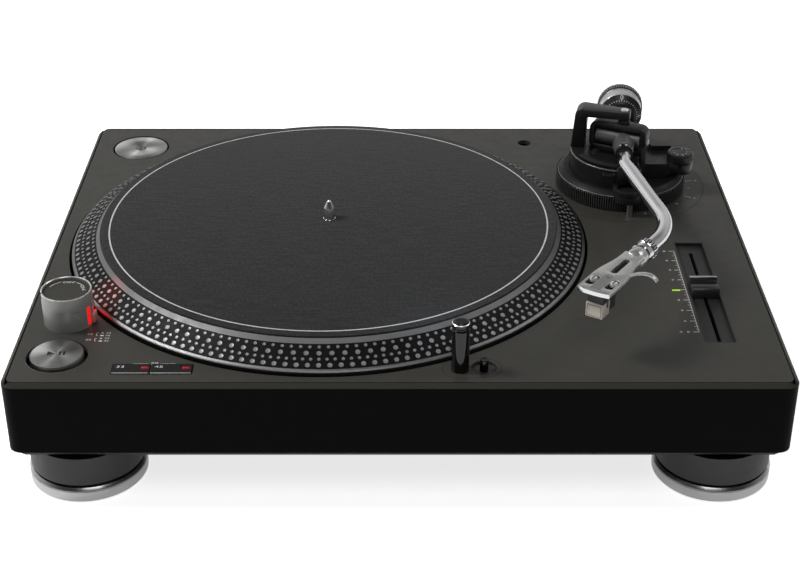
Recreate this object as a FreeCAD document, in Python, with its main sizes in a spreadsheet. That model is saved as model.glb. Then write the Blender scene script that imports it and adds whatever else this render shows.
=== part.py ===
"""A direct-drive turntable for record players' booths, built from separate pieces.

Lengths are in millimetres. X runs to the right along the front, Y runs to the back and Z is up.
The origin lies on the table under the middle of the cabinet. Heights inside a sub-assembly
are measured from the deck, which is the top face of the cabinet.
"""
import FreeCAD, Part
import math
import os
import Sketcher

doc = FreeCAD.newDocument("Turntable")
sheet = doc.addObject("Spreadsheet::Sheet", "Sizes")

SIZES = {
    # cabinet
    "deck_left": 11.0, "arm_room": 103.0, "deck_front": 8.5, "deck_back": 7.5, "corner_r": 8.0,
    "bevel": 2.2, "wall": 6.0, "wall_height": 46.1, "trim_w": 2.7, "groove_w": 0.7, "panel_t": 3.0,
    "sub_deck_t": 4.0, "pan_t": 7.1, "pan_inset": 3.0, "pan_chamfer": 5.0, "pan_lift": 30.5,
    "boss_r": 5.0, "boss_inset": 13.0, "screw_r": 1.5, "screw_head_r": 3.2, "screw_head_t": 2.0,
    "screw_length": 16.0, "mid_boss_x": 111.0, "side_boss_y": 60.0,
    # clearances
    "fit": 0.05, "gap": 0.3, "key_gap": 0.4,
    # platter and motor
    "platter_r": 166.2, "well_margin": 1.8, "well_depth": 12.7, "lip_rise": 2.1, "lip_w": 1.8,
    "lip_step": 0.9, "cone_w": 16.1, "cone_top": 10.95, "rim_w": 2.4, "rim_top": 13.25, "rim_wall": 0.2,
    "mat_t": 3.0, "mat_rise": 1.0, "platter_under": 9.7, "rim_depth": 7.7, "web_t": 5.0, "core_r": 72.0,
    "core_t": 10.45, "hub_r": 22.0, "edge_break": 1.0, "fine_edge": 0.5, "spindle_r": 3.575,
    "shaft_big_r": 4.0, "spindle_top": 27.2, "spindle_tip": 5.0, "spindle_nose_r": 0.9,
    "spindle_nose": 0.5, "spindle_drop": 36.0, "magnet_in_r": 36.0, "magnet_step": 4.0,
    "magnet_t": 10.0, "pit_gap": 8.0, "pit_depth": 23.7, "tub_wall": 4.0, "stator_in_r": 24.0,
    "stator_gap": 2.0, "stator_t": 1.6, "coil_ring_r": 52.0, "coil_r": 9.0, "coil_height": 6.4,
    "coil_count": 9, "bearing_r": 12.0, "bearing_flange_r": 22.0, "bearing_flange_t": 3.0,
    "bearing_top": 10.7, "bearing_bottom": 41.7,
    # controls at the left
    "start_left": 27.5, "start_front": 31.0, "start_r": 15.5, "start_rise": 1.8, "start_t": 5.4,
    "start_recess_margin": 2.3, "start_recess_depth": 5.2, "start_stem_r": 5.0, "start_stem": 11.0,
    "start_cup_wall": 3.2, "start_cup_depth": 13.7, "keys_inset": 61.0, "keys_w": 46.5,
    "keys_front": 11.4, "keys_d": 10.8, "key_33_w": 22.2, "key_rise": 0.8, "key_t": 3.4,
    "keys_depth": 4.4, "key_stem_r": 2.0, "key_stem": 9.0, "key_round": 1.0, "lamp_w": 4.2,
    "lamp_d": 2.2, "lamp_in": 6.1, "lamp_33_in": 18.8, "lamp_45_in": 42.3, "lamp_drop": 14.0,
    "tempo_lamp_out": 7.5, "tempo_lamp_in": 61.4, "tempo_lamp_rise": 0.1, "tempo_lamp_w": 5.0,
    "tempo_lamp_d": 1.8, "tower_clear": 16.456, "tower_angle": 214.888, "tower_r": 15.0,
    "tower_h": 12.8, "tower_top": 21.8, "tower_drop": 7.0, "tower_foot_r": 12.0, "dial_gap": 0.3,
    "dial_rim_w": 2.4, "dial_rim_drop": 1.6, "dial_face_t": 2.0, "dial_post_r": 7.0, "window_w": 10.0,
    "window_h": 8.0, "window_out": 0.7, "window_round": 0.5, "window_low": 1.4, "window_in": 3.0,
    "window_turn": 22.0,
    # platter side and rear of the deck
    "adapter_left": 35.7, "adapter_back": 36.2, "adapter_r": 19.1, "adapter_hole_r": 3.6,
    "adapter_t": 10.0, "adapter_margin": 1.25, "adapter_cup_wall": 2.7, "adapter_floor": 3.0,
    "adapter_edge": 0.6, "spare_right": 133.5, "spare_back": 28.0, "spare_r": 4.8, "spare_depth": 14.0,
    "light_from_middle": 80.1, "light_front": 17.1, "light_r": 5.1, "light_top": 31.8,
    "light_drop": 13.7, "light_cap": 3.5, "light_neck_r": 4.3, "light_neck": 1.2, "light_brow": 0.8,
    "light_brow_w": 1.2, "light_dome_w": 2.6, "light_guide_wall": 2.4, "light_guide_drop": 41.7,
    "release_from_light": 13.7, "release_front": 18.5, "release_r": 2.45, "release_top": 5.8,
    "release_drop": 9.7, "release_recess_r": 7.4, "release_recess": 2.0,
    # tempo fader
    "fader_inset": 28.0, "fader_w": 19.0, "fader_front": 45.5, "fader_l": 123.5, "fader_edge": 0.8,
    "fader_recess": 2.0, "fader_t": 6.2, "slot_w": 2.4, "slot_in": 3.5, "slot_short": 11.0,
    "fader_cap_w": 16.8, "fader_cap_d": 14.6, "fader_cap_h": 8.0, "fader_rest": 3.75,
    "fader_cap_bevel": 1.6, "fader_cap_lift": 0.3, "fader_stem_w": 1.6, "fader_stem_d": 5.0,
    "fader_stem": 9.0, "fader_box_w": 13.0, "fader_box_h": 14.0, "fader_box_end": 2.0,
    "fader_box_drop": 6.2, "fader_channel_w": 4.0, "fader_channel": 5.0,
    # tonearm base
    "pivot_clear": 46.664, "pivot_angle": 21.8803, "pivot_z": 34.8, "mount_r": 41.7,
    "mount_hub_r": 38.0, "mount_hub_drop": 17.7, "sleeve_out_r": 33.5, "sleeve_top": 4.3,
    "stem_r": 26.0, "stem_drop": 23.7, "cable_bore_r": 8.0, "turret_r": 35.3, "turret_low": 4.9,
    "turret_top": 26.3, "turret_recess_r": 22.0, "turret_recess": 3.5, "turret_web": 4.0,
    "turret_pin_r": 2.0, "turret_pin": 2.8, "turret_edge": 1.0, "shaft_cut": 2.5,
    "shaft_cut_left": -9.0, "shaft_cut_front": 12.0, "pocket_left": 9.3, "pocket_back": -16.8,
    "pocket_floor": 12.3, "ring_r": 44.3, "ring_h": 10.8, "ring_top_r": 39.3, "ring_top": 13.8,
    "ring_lip": 4.6, "post_right": 0.6, "post_ahead": 49.8, "post_r": 2.0, "post_top": 16.6,
    "post_drop": 6.7, "rest_left": -9.7, "rest_right": 8.8, "rest_front": -52.5, "rest_back": -16.5,
    "rest_under": 13.9, "rest_nose_under": 9.1, "rest_nose_back": -44.9, "rest_top": 18.1,
    "rest_round": 9.0, "rest_dish": 2.0, "rest_dish_edge": 2.0, "saddle_l": 37.0, "saddle_w": 9.0,
    "saddle_d": 5.0, "saddle_top": 29.0, "cheek_top": 33.0, "cheek_w": 2.0, "cheek_gap": 3.2,
    "saddle_step": 2.0, "clip_l": 8.0, "clip_t": 1.5, "clip_z": 24.0, "clip_tip": 1.6,
    "clip_tip_w": 1.0, "clip_d": 4.4, "clip_pin_r": 1.1, "skate_left": 22.0, "skate_cut": 18.0,
    "skate_right": 38.8, "skate_ahead": 9.5, "skate_front": 16.5, "skate_back": 5.5,
    "skate_shoulder": 4.0, "skate_shoulder_back": 7.0, "skate_corner": 8.0, "skate_low": 14.8,
    "skate_top": 22.8, "skate_r": 8.8, "skate_dial_top": 28.8, "skate_stub_r": 3.0, "skate_stub": 5.0,
    "cue_right": 9.4, "cue_w": 3.6, "cue_ahead": 21.0, "cue_d": 5.4, "cue_z": 20.2, "cue_top": 37.8,
    "cue_slant": 2.5, "cue_pin_r": 1.4, "cue_pin": 4.0, "overcut": 1.0, "lifter_in_r": 29.8,
    "lifter_out_r": 33.8, "lifter_from": 204.0, "lifter_to": 274.0, "lifter_top": 28.9, "lifter_t": 2.0,
    "lifter_post_r": 2.2, "lifter_post_turn": 252.0, "lifter_post": 11.0,
    # yoke and gimbal
    "yoke_turn": -13.0, "yoke_foot_x": -35.2, "yoke_top_x": -33.4, "yoke_inner_x": -25.4,
    "yoke_inner_foot_x": -26.0, "yoke_tip_x": 4.0, "yoke_front": -3.6, "yoke_back": 9.4,
    "yoke_tip_back": 4.0, "yoke_under": 49.0, "yoke_top": 55.3, "yoke_round": 6.0, "yoke_screw_r": 2.65,
    "yoke_screw": 0.8, "yoke_cup_r": 4.0, "yoke_pin_r": 1.6, "yoke_waist": -22.0, "gimbal_turn": -26.0,
    "gimbal_left": 22.8, "gimbal_right": 17.8, "gimbal_low": -10.0, "gimbal_top": 11.0,
    "gimbal_depth": 9.7, "gimbal_wall": 4.0, "gimbal_round": 6.0, "gimbal_inner_round": 1.2,
    "gimbal_pin_depth": 1.5, "side_screw_r": 2.2, "side_screw": 0.6, "side_pin_r": 1.2, "side_pin": 1.8,
    "pivot_r": 5.5,
    # tonearm
    "arm_turn": -95.0, "arm_tilt": -1.8, "arm_neck_r": 5.0, "nose_neck_x": 4.0, "nose_start_x": 7.6,
    "nose_start_r": 5.8, "nose_mid_x": 13.0, "nose_mid_r": 7.4, "nose_end_x": 26.0, "nose_end_r": 6.0,
    "nose_ring_r": 5.5, "nose_ring_x": 28.0, "tube_r": 4.75, "tube_bore_r": 3.75, "tube_start_x": 19.0,
    "bend_1_x": 44.7, "bend_1_angle": 14.5, "bend_1_r": 40.0, "bend_2_x": 139.7, "bend_2_y": 24.5,
    "bend_2_angle": 42.3, "bend_2_r": 60.0, "tube_end": 45.0, "nut_start": 33.0, "nut_end": 45.0,
    "nut_r": 6.6, "nut_lip": 0.8, "collar_r": 6.25, "collar_start": 45.4, "collar_end": 53.0,
    "plug_r": 3.6, "plug_end": 36.0, "shell_top": 4.4, "shell_t": 2.6, "shell_wide": 86.7,
    "shell_front": 107.6, "shell_half": 10.1, "shell_waist": 66.0, "shell_waist_half": 6.9,
    "shell_bow": 0.9, "finger_slot_from": 62.0, "finger_slot_to": 81.0, "finger_slot_w": 3.0,
    "finger_hole_x": 87.5, "finger_hole_r": 1.0, "screw_slot_from": 89.5, "screw_slot_to": 100.5,
    "screw_slot_w": 2.6, "screw_pitch": 12.7, "screw_x": 93.1, "cart_screw_r": 1.15, "cart_head_r": 2.2,
    "cart_head_t": 1.3, "cart_back": 86.5, "cart_front": 103.7, "cart_half": 5.25, "cart_top": -6.0,
    "cart_bottom": -13.4, "cart_neck_short": 1.0, "cart_ear_short": 2.0, "cart_ear_half": 8.6,
    "cart_ear_t": 3.0, "stylus_x": 101.7, "stylus_tip": -15.6, "stylus_r": 0.4, "cantilever_x": 95.5,
    "lift_x": 79.0, "lift_w": 3.0, "lift_out": 22.0, "lift_t": 1.2, "lift_rise": 3.7, "lift_lap": 3.0,
    "lift_foot": 1.0, "lift_slope": 4.0, "shaft_r": 5.0, "shaft_start": 4.0, "shaft_end": 66.0,
    "sleeve_r": 7.0, "sleeve_start": 38.8, "sleeve_end": 62.4, "dial_start": 39.0, "dial_end": 43.5,
    "dial_small_r": 9.5, "dial_large_r": 14.9, "weight_start": 44.0, "weight_r": 15.2,
    "weight_step": 57.5, "weight_rim_r": 16.0, "weight_end": 63.0,
    # feet
    "foot_inset_x": 37.7, "foot_inset_y": 37.0, "housing_r": 34.0, "housing_low": 12.0,
    "housing_web": 26.0, "foot_bore_margin": 0.1, "foot_sleeve_r": 30.0, "foot_sleeve_wall": 3.0,
    "foot_sleeve_top": 24.0, "foot_pad_r": 31.0, "foot_pad_t": 3.0, "foot_flange_r": 33.0,
    "foot_flange_top": 5.0, "foot_ring_r": 35.0, "foot_ring_low": 0.8, "foot_ring_top": 9.8,
    "foot_bevel": 1.5, "foot_nut_r": 9.0, "foot_nut_low": 14.0, "foot_stud_r": 5.0,
    "foot_stud_top": 27.5,
    # electronics and rear connectors
    "board_inset": 20.0, "board_w": 86.0, "board_front": 13.0, "board_d": 63.0, "board_z": 14.4,
    "board_t": 1.6, "board_post_r": 3.5, "board_post_inset": 6.0, "switch_r": 3.0, "chip_h": 4.0,
    "chip_w": 18.0, "chip_pitch": 26.0, "supply_inset": 20.0, "supply_w": 70.0, "supply_d": 65.0,
    "supply_back": 16.0, "supply_h": 16.0, "supply_z": 8.0, "supply_round": 2.0, "plate_left": 20.0,
    "plate_right": 67.0, "plate_low": 6.0, "plate_high": 26.0, "plate_t": 3.0, "plate_lap": 3.0,
    "jack_x": 29.5, "jack_pitch": 13.0, "jack_z": 16.0, "jack_r": 4.2, "jack_pin_r": 1.6,
    "jack_in": 12.0, "ground_x": 56.5, "ground_r": 3.0, "ground_cap_r": 5.0, "ground_cap_t": 2.2,
    "inlet_x": -60.0, "inlet_w": 27.0, "inlet_h": 19.0, "inlet_d": 18.0, "inlet_z": 16.0,
    "inlet_wall": 2.0, "inlet_pin": 2.0, "inlet_blade": 7.0,
}

for row, (name, number) in enumerate(SIZES.items(), 1):
    sheet.set(f"A{row}", name)
    sheet.set(f"B{row}", str(number))
    sheet.setAlias(f"B{row}", name)
doc.recompute()


class Size:
    """A length or angle that knows its value and how the sheet works it out."""

    def __init__(self, value, text):
        self.value = float(value)
        self.text = text

    def join(self, sign, other, value):
        return Size(value, f"({self.text} {sign} {as_size(other).text})")

    def __add__(self, other):
        return self.join("+", other, self.value + as_size(other).value)

    def __sub__(self, other):
        return self.join("-", other, self.value - as_size(other).value)

    def __mul__(self, other):
        return self.join("*", other, self.value * as_size(other).value)

    def __truediv__(self, other):
        return self.join("/", other, self.value / as_size(other).value)

    def __radd__(self, other):
        return as_size(other) + self

    def __rsub__(self, other):
        return as_size(other) - self

    def __rmul__(self, other):
        return as_size(other) * self

    def __neg__(self):
        return as_size(0) - self


def as_size(value):
    """Give a plain number the same form as a size of the sheet."""
    if isinstance(value, Size):
        return value
    return Size(value, repr(float(value)))


def sin(angle):
    return Size(math.sin(math.radians(angle.value)), f"sin({angle.text})")


def cos(angle):
    return Size(math.cos(math.radians(angle.value)), f"cos({angle.text})")


def tan(angle):
    return Size(math.tan(math.radians(angle.value)), f"tan({angle.text})")


class Sheet:
    """Reads a size by its name, as in S.bevel."""

    def __getattr__(self, name):
        return Size(sheet.get(name), f"Sizes.{name}")


S = Sheet()


class Frame:
    """A position and some turns, counted from another frame."""

    def __init__(self, text):
        self.text = text

    def at(self, x=0, y=0, z=0, *turns):
        """Step to x, y, z and turn there, each turn an axis letter and an angle."""
        spins = " * ".join(f"rotation(vector({AXES[axis]}); {as_size(angle).text})" for axis, angle in turns)
        spins = spins or "rotation(vector(0; 0; 1); 0)"
        spot = "; ".join(as_size(value).text for value in (x, y, z))
        step = f"placement(vector({spot}); {spins})"
        return Frame(f"{self.text} * {step}" if self.text else step)


AXES = {"x": "1; 0; 0", "y": "0; 1; 0", "z": "0; 0; 1"}
TABLE = Frame("")
DECK_HEIGHT = S.pan_lift + S.pan_t + S.wall_height
DECK = TABLE.at(0, 0, DECK_HEIGHT)
# The cabinet fits round the platter's well, with room for the tonearm at the right
WELL_R = S.platter_r + S.well_margin
HALF_W = (S.deck_left + WELL_R * 2 + S.arm_room) / 2
HALF_D = (S.deck_front + WELL_R * 2 + S.deck_back) / 2
PLATTER_X = -HALF_W + S.deck_left + WELL_R
PLATTER_Y = -HALF_D + S.deck_front + WELL_R


def beside_well(clear, angle):
    """A plan position that keeps clear of the well, at an angle round the platter."""
    reach = WELL_R + clear
    return PLATTER_X + reach * cos(angle), PLATTER_Y + reach * sin(angle)


TOWER_SPOT = beside_well(S.tower_clear, S.tower_angle)
ARM_SPOT = beside_well(S.pivot_clear, S.pivot_angle)

PLATTER = DECK.at(PLATTER_X, PLATTER_Y, 0)
TOWER = DECK.at(*TOWER_SPOT, 0)
ARM_BASE = DECK.at(*ARM_SPOT, 0)
YOKE = ARM_BASE.at(0, 0, 0, ("z", S.yoke_turn))
PIVOT = ARM_BASE.at(0, 0, S.pivot_z)
GIMBAL = PIVOT.at(0, 0, 0, ("z", S.gimbal_turn))
ARM = PIVOT.at(0, 0, 0, ("z", S.arm_turn), ("y", S.arm_tilt))
HEAD = ARM.at(S.bend_2_x, S.bend_2_y, 0, ("z", S.bend_1_angle - S.bend_2_angle))

nodes = []


def bind(thing, name, value):
    """Tie one property to the sheet, or set it where it is a plain number."""
    if isinstance(value, Size):
        thing.setExpression(name, value.text)
    else:
        setattr(thing, name, value)


def place(thing, frame):
    if frame.text:
        thing.setExpression("Placement", frame.text)


def finish(thing, label, frame):
    """Name a sub-part, put it in its frame and keep it for the export."""
    thing.Label = label
    place(thing, frame)
    nodes.append(thing)
    return thing


# Drawing in a sketch

def pin(drawing, edge, end, x, y):
    """Hold one point of a drawn edge at x, y."""
    for kind, value in (("DistanceX", x), ("DistanceY", y)):
        value = as_size(value)
        number = drawing.addConstraint(Sketcher.Constraint(kind, -1, 1, edge, end, value.value))
        drawing.setExpression(f"Constraints[{number}]", value.text)


def measure(drawing, kind, edge, value):
    """Give a drawn circle or arc its radius."""
    value = as_size(value)
    number = drawing.addConstraint(Sketcher.Constraint(kind, edge, value.value))
    drawing.setExpression(f"Constraints[{number}]", value.text)


def spot(x, y):
    return FreeCAD.Vector(as_size(x).value, as_size(y).value, 0)


def circle(x, y, radius):
    """A full circle, as a function that draws it."""
    def draw(drawing):
        edge = drawing.addGeometry(Part.Circle(spot(x, y), FreeCAD.Vector(0, 0, 1),
                                               as_size(radius).value), False)
        pin(drawing, edge, 3, x, y)
        measure(drawing, "Radius", edge, radius)
    return draw


def outline(points):
    """A closed shape of straight lines and arcs, as a function that draws it.

    A point is (x, y). One with a third value is reached by an arc of that radius: positive
    bulges to the right of the way from the point before.
    """
    def draw(drawing):
        count = len(points)
        edges = []
        for index in range(count):
            start, end = points[index], points[(index + 1) % count]
            a, b = spot(start[0], start[1]), spot(end[0], end[1])
            if len(end) == 3:
                edges.append(drawing.addGeometry(arc_between(a, b, as_size(end[2]).value), False))
            else:
                edges.append(drawing.addGeometry(Part.LineSegment(a, b), False))
        for index in range(count):
            start, end = points[index], points[(index + 1) % count]
            curved = len(end) == 3
            forward = not curved or as_size(end[2]).value > 0
            pin(drawing, edges[index], 1 if forward else 2, start[0], start[1])
            pin(drawing, edges[index], 2 if forward else 1, end[0], end[1])
            if curved:
                measure(drawing, "Radius", edges[index], end[2] if forward else -end[2])
    return draw


def arc_between(a, b, radius):
    """The short arc from a to b, bulging right of the way for a positive radius."""
    way = b - a
    half = way.Length / 2
    side = FreeCAD.Vector(way.y, -way.x, 0).normalize() * (1 if radius > 0 else -1)
    rise = abs(radius) - math.sqrt(radius * radius - half * half)
    return Part.Arc(a, (a + b) / 2 + side * rise, b)


def rectangle(left, front, right, back):
    return outline([(left, front), (right, front), (right, back), (left, back)])


PLANES = {"xy": "XY_Plane", "xz": "XZ_Plane", "yz": "YZ_Plane"}


class Piece:
    """One solid made of sketches and features in a body of its own."""

    def __init__(self, label, frame):
        self.body = doc.addObject("PartDesign::Body", label)
        finish(self.body, label, frame)

    def sketch(self, plane, offset, shapes):
        drawing = self.body.newObject("Sketcher::SketchObject", "Sketch")
        origin = [o for o in self.body.Origin.OriginFeatures if o.Role == PLANES[plane]][0]
        drawing.AttachmentSupport = (origin, [""])
        drawing.MapMode = "FlatFace"
        drawing.setExpression("AttachmentOffset.Base.z", as_size(offset).text)
        for draw in shapes:
            draw(drawing)
        return drawing

    def feature(self, kind, drawing, length):
        made = self.body.newObject(f"PartDesign::{kind}", kind)
        made.Profile = drawing
        bind(made, "Length", as_size(length))
        return self

    def pad(self, low, high, *shapes):
        """Add the drawn shapes between two heights."""
        return self.feature("Pad", self.sketch("xy", low, shapes), high - low)

    def pocket(self, low, high, *shapes):
        """Cut the drawn shapes away between two heights."""
        return self.feature("Pocket", self.sketch("xy", high, shapes), high - low)

    def pad_y(self, front, back, *shapes):
        """Add shapes drawn in x and z, from the front to the back."""
        return self.feature("Pad", self.sketch("xz", -as_size(back), shapes), back - front)

    def pocket_y(self, front, back, *shapes):
        return self.feature("Pocket", self.sketch("xz", -as_size(front), shapes), back - front)

    def pad_x(self, left, right, *shapes):
        """Add shapes drawn in y and z, from the left to the right."""
        return self.feature("Pad", self.sketch("yz", left, shapes), right - left)

    def pocket_x(self, left, right, *shapes):
        return self.feature("Pocket", self.sketch("yz", right, shapes), right - left)

    def turned(self, points, kind="Revolution"):
        """Turn a profile of radius and height about the upright axis."""
        drawing = self.sketch("xz", 0, [outline(points)])
        made = self.body.newObject(f"PartDesign::{kind}", kind)
        made.Profile = drawing
        made.ReferenceAxis = (drawing, ["V_Axis"])
        made.Angle = 360
        return self

    def turned_x(self, points, kind="Revolution"):
        """Turn a profile of length and radius about the x axis."""
        drawing = self.sketch("xy", 0, [outline(points)])
        made = self.body.newObject(f"PartDesign::{kind}", kind)
        made.Profile = drawing
        made.ReferenceAxis = (drawing, ["H_Axis"])
        made.Angle = 360
        return self

    def edges(self, test):
        """The edges of the solid so far that pass a test."""
        doc.recompute()
        tip = self.body.Tip
        return (tip, [f"Edge{n}" for n, edge in enumerate(tip.Shape.Edges, 1) if test(edge)])

    def round(self, radius, test):
        base = self.edges(test)
        made = self.body.newObject("PartDesign::Fillet", "Fillet")
        made.Base = base
        bind(made, "Radius", radius)
        return self

    def chamfer(self, size, test):
        base = self.edges(test)
        made = self.body.newObject("PartDesign::Chamfer", "Chamfer")
        made.Base = base
        bind(made, "Size", size)
        return self


def upright(edge):
    """True for a straight edge that runs along z."""
    return edge.Curve.TypeId == "Part::GeomLine" and abs(edge.tangentAt(edge.FirstParameter).z) > 0.999


def at_height(height):
    """A test for edges that lie flat at one height."""
    def test(edge):
        box = edge.BoundBox
        return abs(box.ZMin - height.value) < 0.01 and abs(box.ZMax - height.value) < 0.01
    return test


# Plain solids for groups and small pieces

def cylinder(radius, low, high, x=0, y=0, axis="z"):
    """A round bar from low to high along an axis, through x, y across it."""
    bar = doc.addObject("Part::Cylinder", "Bar")
    bind(bar, "Radius", radius)
    bind(bar, "Height", as_size(high) - low)
    if axis == "z":
        place(bar, TABLE.at(x, y, low))
    elif axis == "y":
        place(bar, TABLE.at(x, high, y, ("x", 90)))
    else:
        place(bar, TABLE.at(low, x, y, ("y", 90)))
    return bar


def box(left, front, low, right, back, high):
    """A block between two opposite corners."""
    block = doc.addObject("Part::Box", "Block")
    bind(block, "Length", as_size(right) - left)
    bind(block, "Width", as_size(back) - front)
    bind(block, "Height", as_size(high) - low)
    place(block, TABLE.at(left, front, low))
    return block


def fuse(*parts):
    joined = doc.addObject("Part::MultiFuse", "Joined")
    joined.Shapes = list(parts)
    return joined


def cut(base, *tools):
    made = doc.addObject("Part::Cut", "Remaining")
    made.Base = base
    made.Tool = tools[0] if len(tools) == 1 else fuse(*tools)
    return made


def group(*parts):
    held = doc.addObject("Part::Compound", "Group")
    held.Links = list(parts)
    return held


def corners(x, y):
    """Four places, one towards each corner of the cabinet."""
    return [(side_x * x, side_y * y) for side_y in (-1, 1) for side_x in (-1, 1)]


# Cabinet

WALL_LOW = -S.wall_height
PANEL_LOW = -S.panel_t
SHELF_LOW = -(S.panel_t + S.sub_deck_t)
PIT_R = S.core_r + S.pit_gap
CONE_R = S.platter_r - S.cone_w
RIM_R = CONE_R - S.rim_w
MAT_SEAT = S.rim_top + S.mat_rise - S.mat_t
START_X = -HALF_W + S.start_left
START_Y = -HALF_D + S.start_front
START_RECESS_R = S.start_r + S.start_recess_margin
KEYS_LEFT = -HALF_W + S.keys_inset
KEYS_RIGHT = KEYS_LEFT + S.keys_w
KEYS_FRONT = -HALF_D + S.keys_front
KEYS_BACK = KEYS_FRONT + S.keys_d
KEYS_SPLIT = KEYS_LEFT + S.key_33_w
LAMP_Y = KEYS_FRONT + S.lamp_in
LAMP_33_X = KEYS_LEFT + S.lamp_33_in
LAMP_45_X = KEYS_LEFT + S.lamp_45_in
ADAPTER_X = -HALF_W + S.adapter_left
ADAPTER_Y = HALF_D - S.adapter_back
ADAPTER_RECESS_R = S.adapter_r + S.adapter_margin
SPARE_X = HALF_W - S.spare_right
SPARE_Y = HALF_D - S.spare_back
LIGHT_X = PLATTER_X + S.light_from_middle
LIGHT_Y = -HALF_D + S.light_front
RELEASE_X = LIGHT_X + S.release_from_light
RELEASE_Y = -HALF_D + S.release_front
FADER_RIGHT = HALF_W - S.fader_inset
FADER_LEFT = FADER_RIGHT - S.fader_w
FADER_FRONT = -HALF_D + S.fader_front
FADER_BACK = FADER_FRONT + S.fader_l
SLOT_FRONT = FADER_FRONT + S.slot_in
SLOT_BACK = FADER_BACK - S.slot_short
CHANNEL_X = (FADER_LEFT + FADER_RIGHT) / 2
TEMPO_LAMP_X = FADER_LEFT - S.tempo_lamp_out
TEMPO_LAMP_Y = FADER_FRONT + S.tempo_lamp_in
POST_X = ARM_SPOT[0] + S.post_right
POST_Y = ARM_SPOT[1] - S.post_ahead
BOARD_LEFT = -HALF_W + S.board_inset
BOARD_RIGHT = BOARD_LEFT + S.board_w
BOARD_FRONT = -HALF_D + S.board_front
BOARD_BACK = BOARD_FRONT + S.board_d
SUPPLY_LEFT = -HALF_W + S.supply_inset
SUPPLY_RIGHT = SUPPLY_LEFT + S.supply_w
SUPPLY_BACK = HALF_D - S.supply_back
SUPPLY_FRONT = SUPPLY_BACK - S.supply_d
FOOT_X = HALF_W - S.foot_inset_x
FOOT_Y = HALF_D - S.foot_inset_y


def boss_places():
    """Where the screws hold the base pan: along the front and back, and at the sides."""
    x, y = HALF_W - S.boss_inset, HALF_D - S.boss_inset
    return [(sx * S.mid_boss_x, sy * y) for sy in (-1, 1) for sx in (-1, 1)] + \
        [(sx * x, sy * S.side_boss_y) for sy in (-1, 1) for sx in (-1, 1)]


def plinth_frame():
    """The cast cabinet: walls, a shelf under the top panel, the platter's well and screw bosses."""
    piece = Piece("plinth_frame", DECK)
    piece.pad(WALL_LOW, as_size(0), rectangle(-HALF_W, -HALF_D, HALF_W, HALF_D))
    piece.round(S.corner_r, upright)
    piece.chamfer(S.bevel, at_height(as_size(0)))
    inner_x, inner_y = HALF_W - S.trim_w, HALF_D - S.trim_w
    piece.pocket(PANEL_LOW, as_size(0), rectangle(-inner_x, -inner_y, inner_x, inner_y))
    hall_x, hall_y = HALF_W - S.wall, HALF_D - S.wall
    piece.pocket(WALL_LOW, SHELF_LOW, rectangle(-hall_x, -hall_y, hall_x, hall_y))
    tub_low = -(S.well_depth + S.tub_wall)
    pit_low = -(S.pit_depth + S.tub_wall)
    piece.pad(tub_low, SHELF_LOW, circle(PLATTER_X, PLATTER_Y, WELL_R + S.tub_wall))
    piece.pad(pit_low, tub_low, circle(PLATTER_X, PLATTER_Y, PIT_R + S.tub_wall))
    piece.pocket(-S.well_depth, as_size(0), circle(PLATTER_X, PLATTER_Y, WELL_R))
    piece.pocket(-S.pit_depth, as_size(0), circle(PLATTER_X, PLATTER_Y, PIT_R))
    piece.pocket(pit_low, as_size(0), circle(PLATTER_X, PLATTER_Y, S.bearing_r + S.fit))
    bosses = boss_places()
    piece.pad(WALL_LOW, SHELF_LOW, *[circle(x, y, S.boss_r) for x, y in bosses])
    piece.pocket(WALL_LOW, WALL_LOW + S.screw_length, *[circle(x, y, S.screw_r + S.fit) for x, y in bosses])
    cups = [circle(START_X, START_Y, START_RECESS_R + S.start_cup_wall),
            circle(ADAPTER_X, ADAPTER_Y, ADAPTER_RECESS_R + S.adapter_cup_wall)]
    piece.pad(-S.start_cup_depth, SHELF_LOW, *cups)
    piece.pad(-S.light_guide_drop, SHELF_LOW, circle(LIGHT_X, LIGHT_Y, S.light_r + S.light_guide_wall))
    piece.pad(-S.spare_depth - S.adapter_floor, SHELF_LOW,
              circle(SPARE_X, SPARE_Y, S.spare_r + S.light_guide_wall))
    piece.pocket(-S.start_recess_depth, as_size(0), circle(START_X, START_Y, START_RECESS_R))
    piece.pocket(-S.start_cup_depth, as_size(0), circle(START_X, START_Y, S.start_stem_r + S.fit))
    piece.pocket(-S.adapter_t, as_size(0), circle(ADAPTER_X, ADAPTER_Y, ADAPTER_RECESS_R))
    piece.pocket(-S.light_guide_drop, as_size(0), circle(LIGHT_X, LIGHT_Y, S.light_r + S.fit))
    piece.pocket(SHELF_LOW, as_size(0), circle(RELEASE_X, RELEASE_Y, S.release_r + S.fit))
    piece.pocket(-S.spare_depth, as_size(0), circle(SPARE_X, SPARE_Y, S.spare_r))
    piece.pocket(SHELF_LOW, as_size(0), circle(*TOWER_SPOT, S.tower_foot_r + S.fit))
    piece.pocket(SHELF_LOW, as_size(0), circle(*ARM_SPOT, S.mount_hub_r + S.gap))
    piece.pocket(-S.keys_depth, as_size(0), keys_opening())
    piece.pocket(SHELF_LOW, as_size(0), *[circle(x, y, S.key_stem_r + S.fit) for x, y in key_stems()],
                 *[lamp_shape(x, S.key_gap) for x in (LAMP_33_X, LAMP_45_X)])
    piece.pocket(SHELF_LOW, as_size(0), fader_throat(S.fit),
                 tempo_lamp_shape(S.fit), circle(POST_X, POST_Y, S.post_r))
    back = HALF_D
    hole = S.plate_lap
    piece.pocket_y(back - S.wall, back,
                   rectangle(S.plate_left + hole, WALL_LOW + S.plate_low + hole,
                             S.plate_right - hole, WALL_LOW + S.plate_high - hole),
                   rectangle(S.inlet_x - S.inlet_w / 2 - S.fit, WALL_LOW + S.inlet_z - S.inlet_h / 2 - S.fit,
                             S.inlet_x + S.inlet_w / 2 + S.fit,
                             WALL_LOW + S.inlet_z + S.inlet_h / 2 + S.fit))


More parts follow.
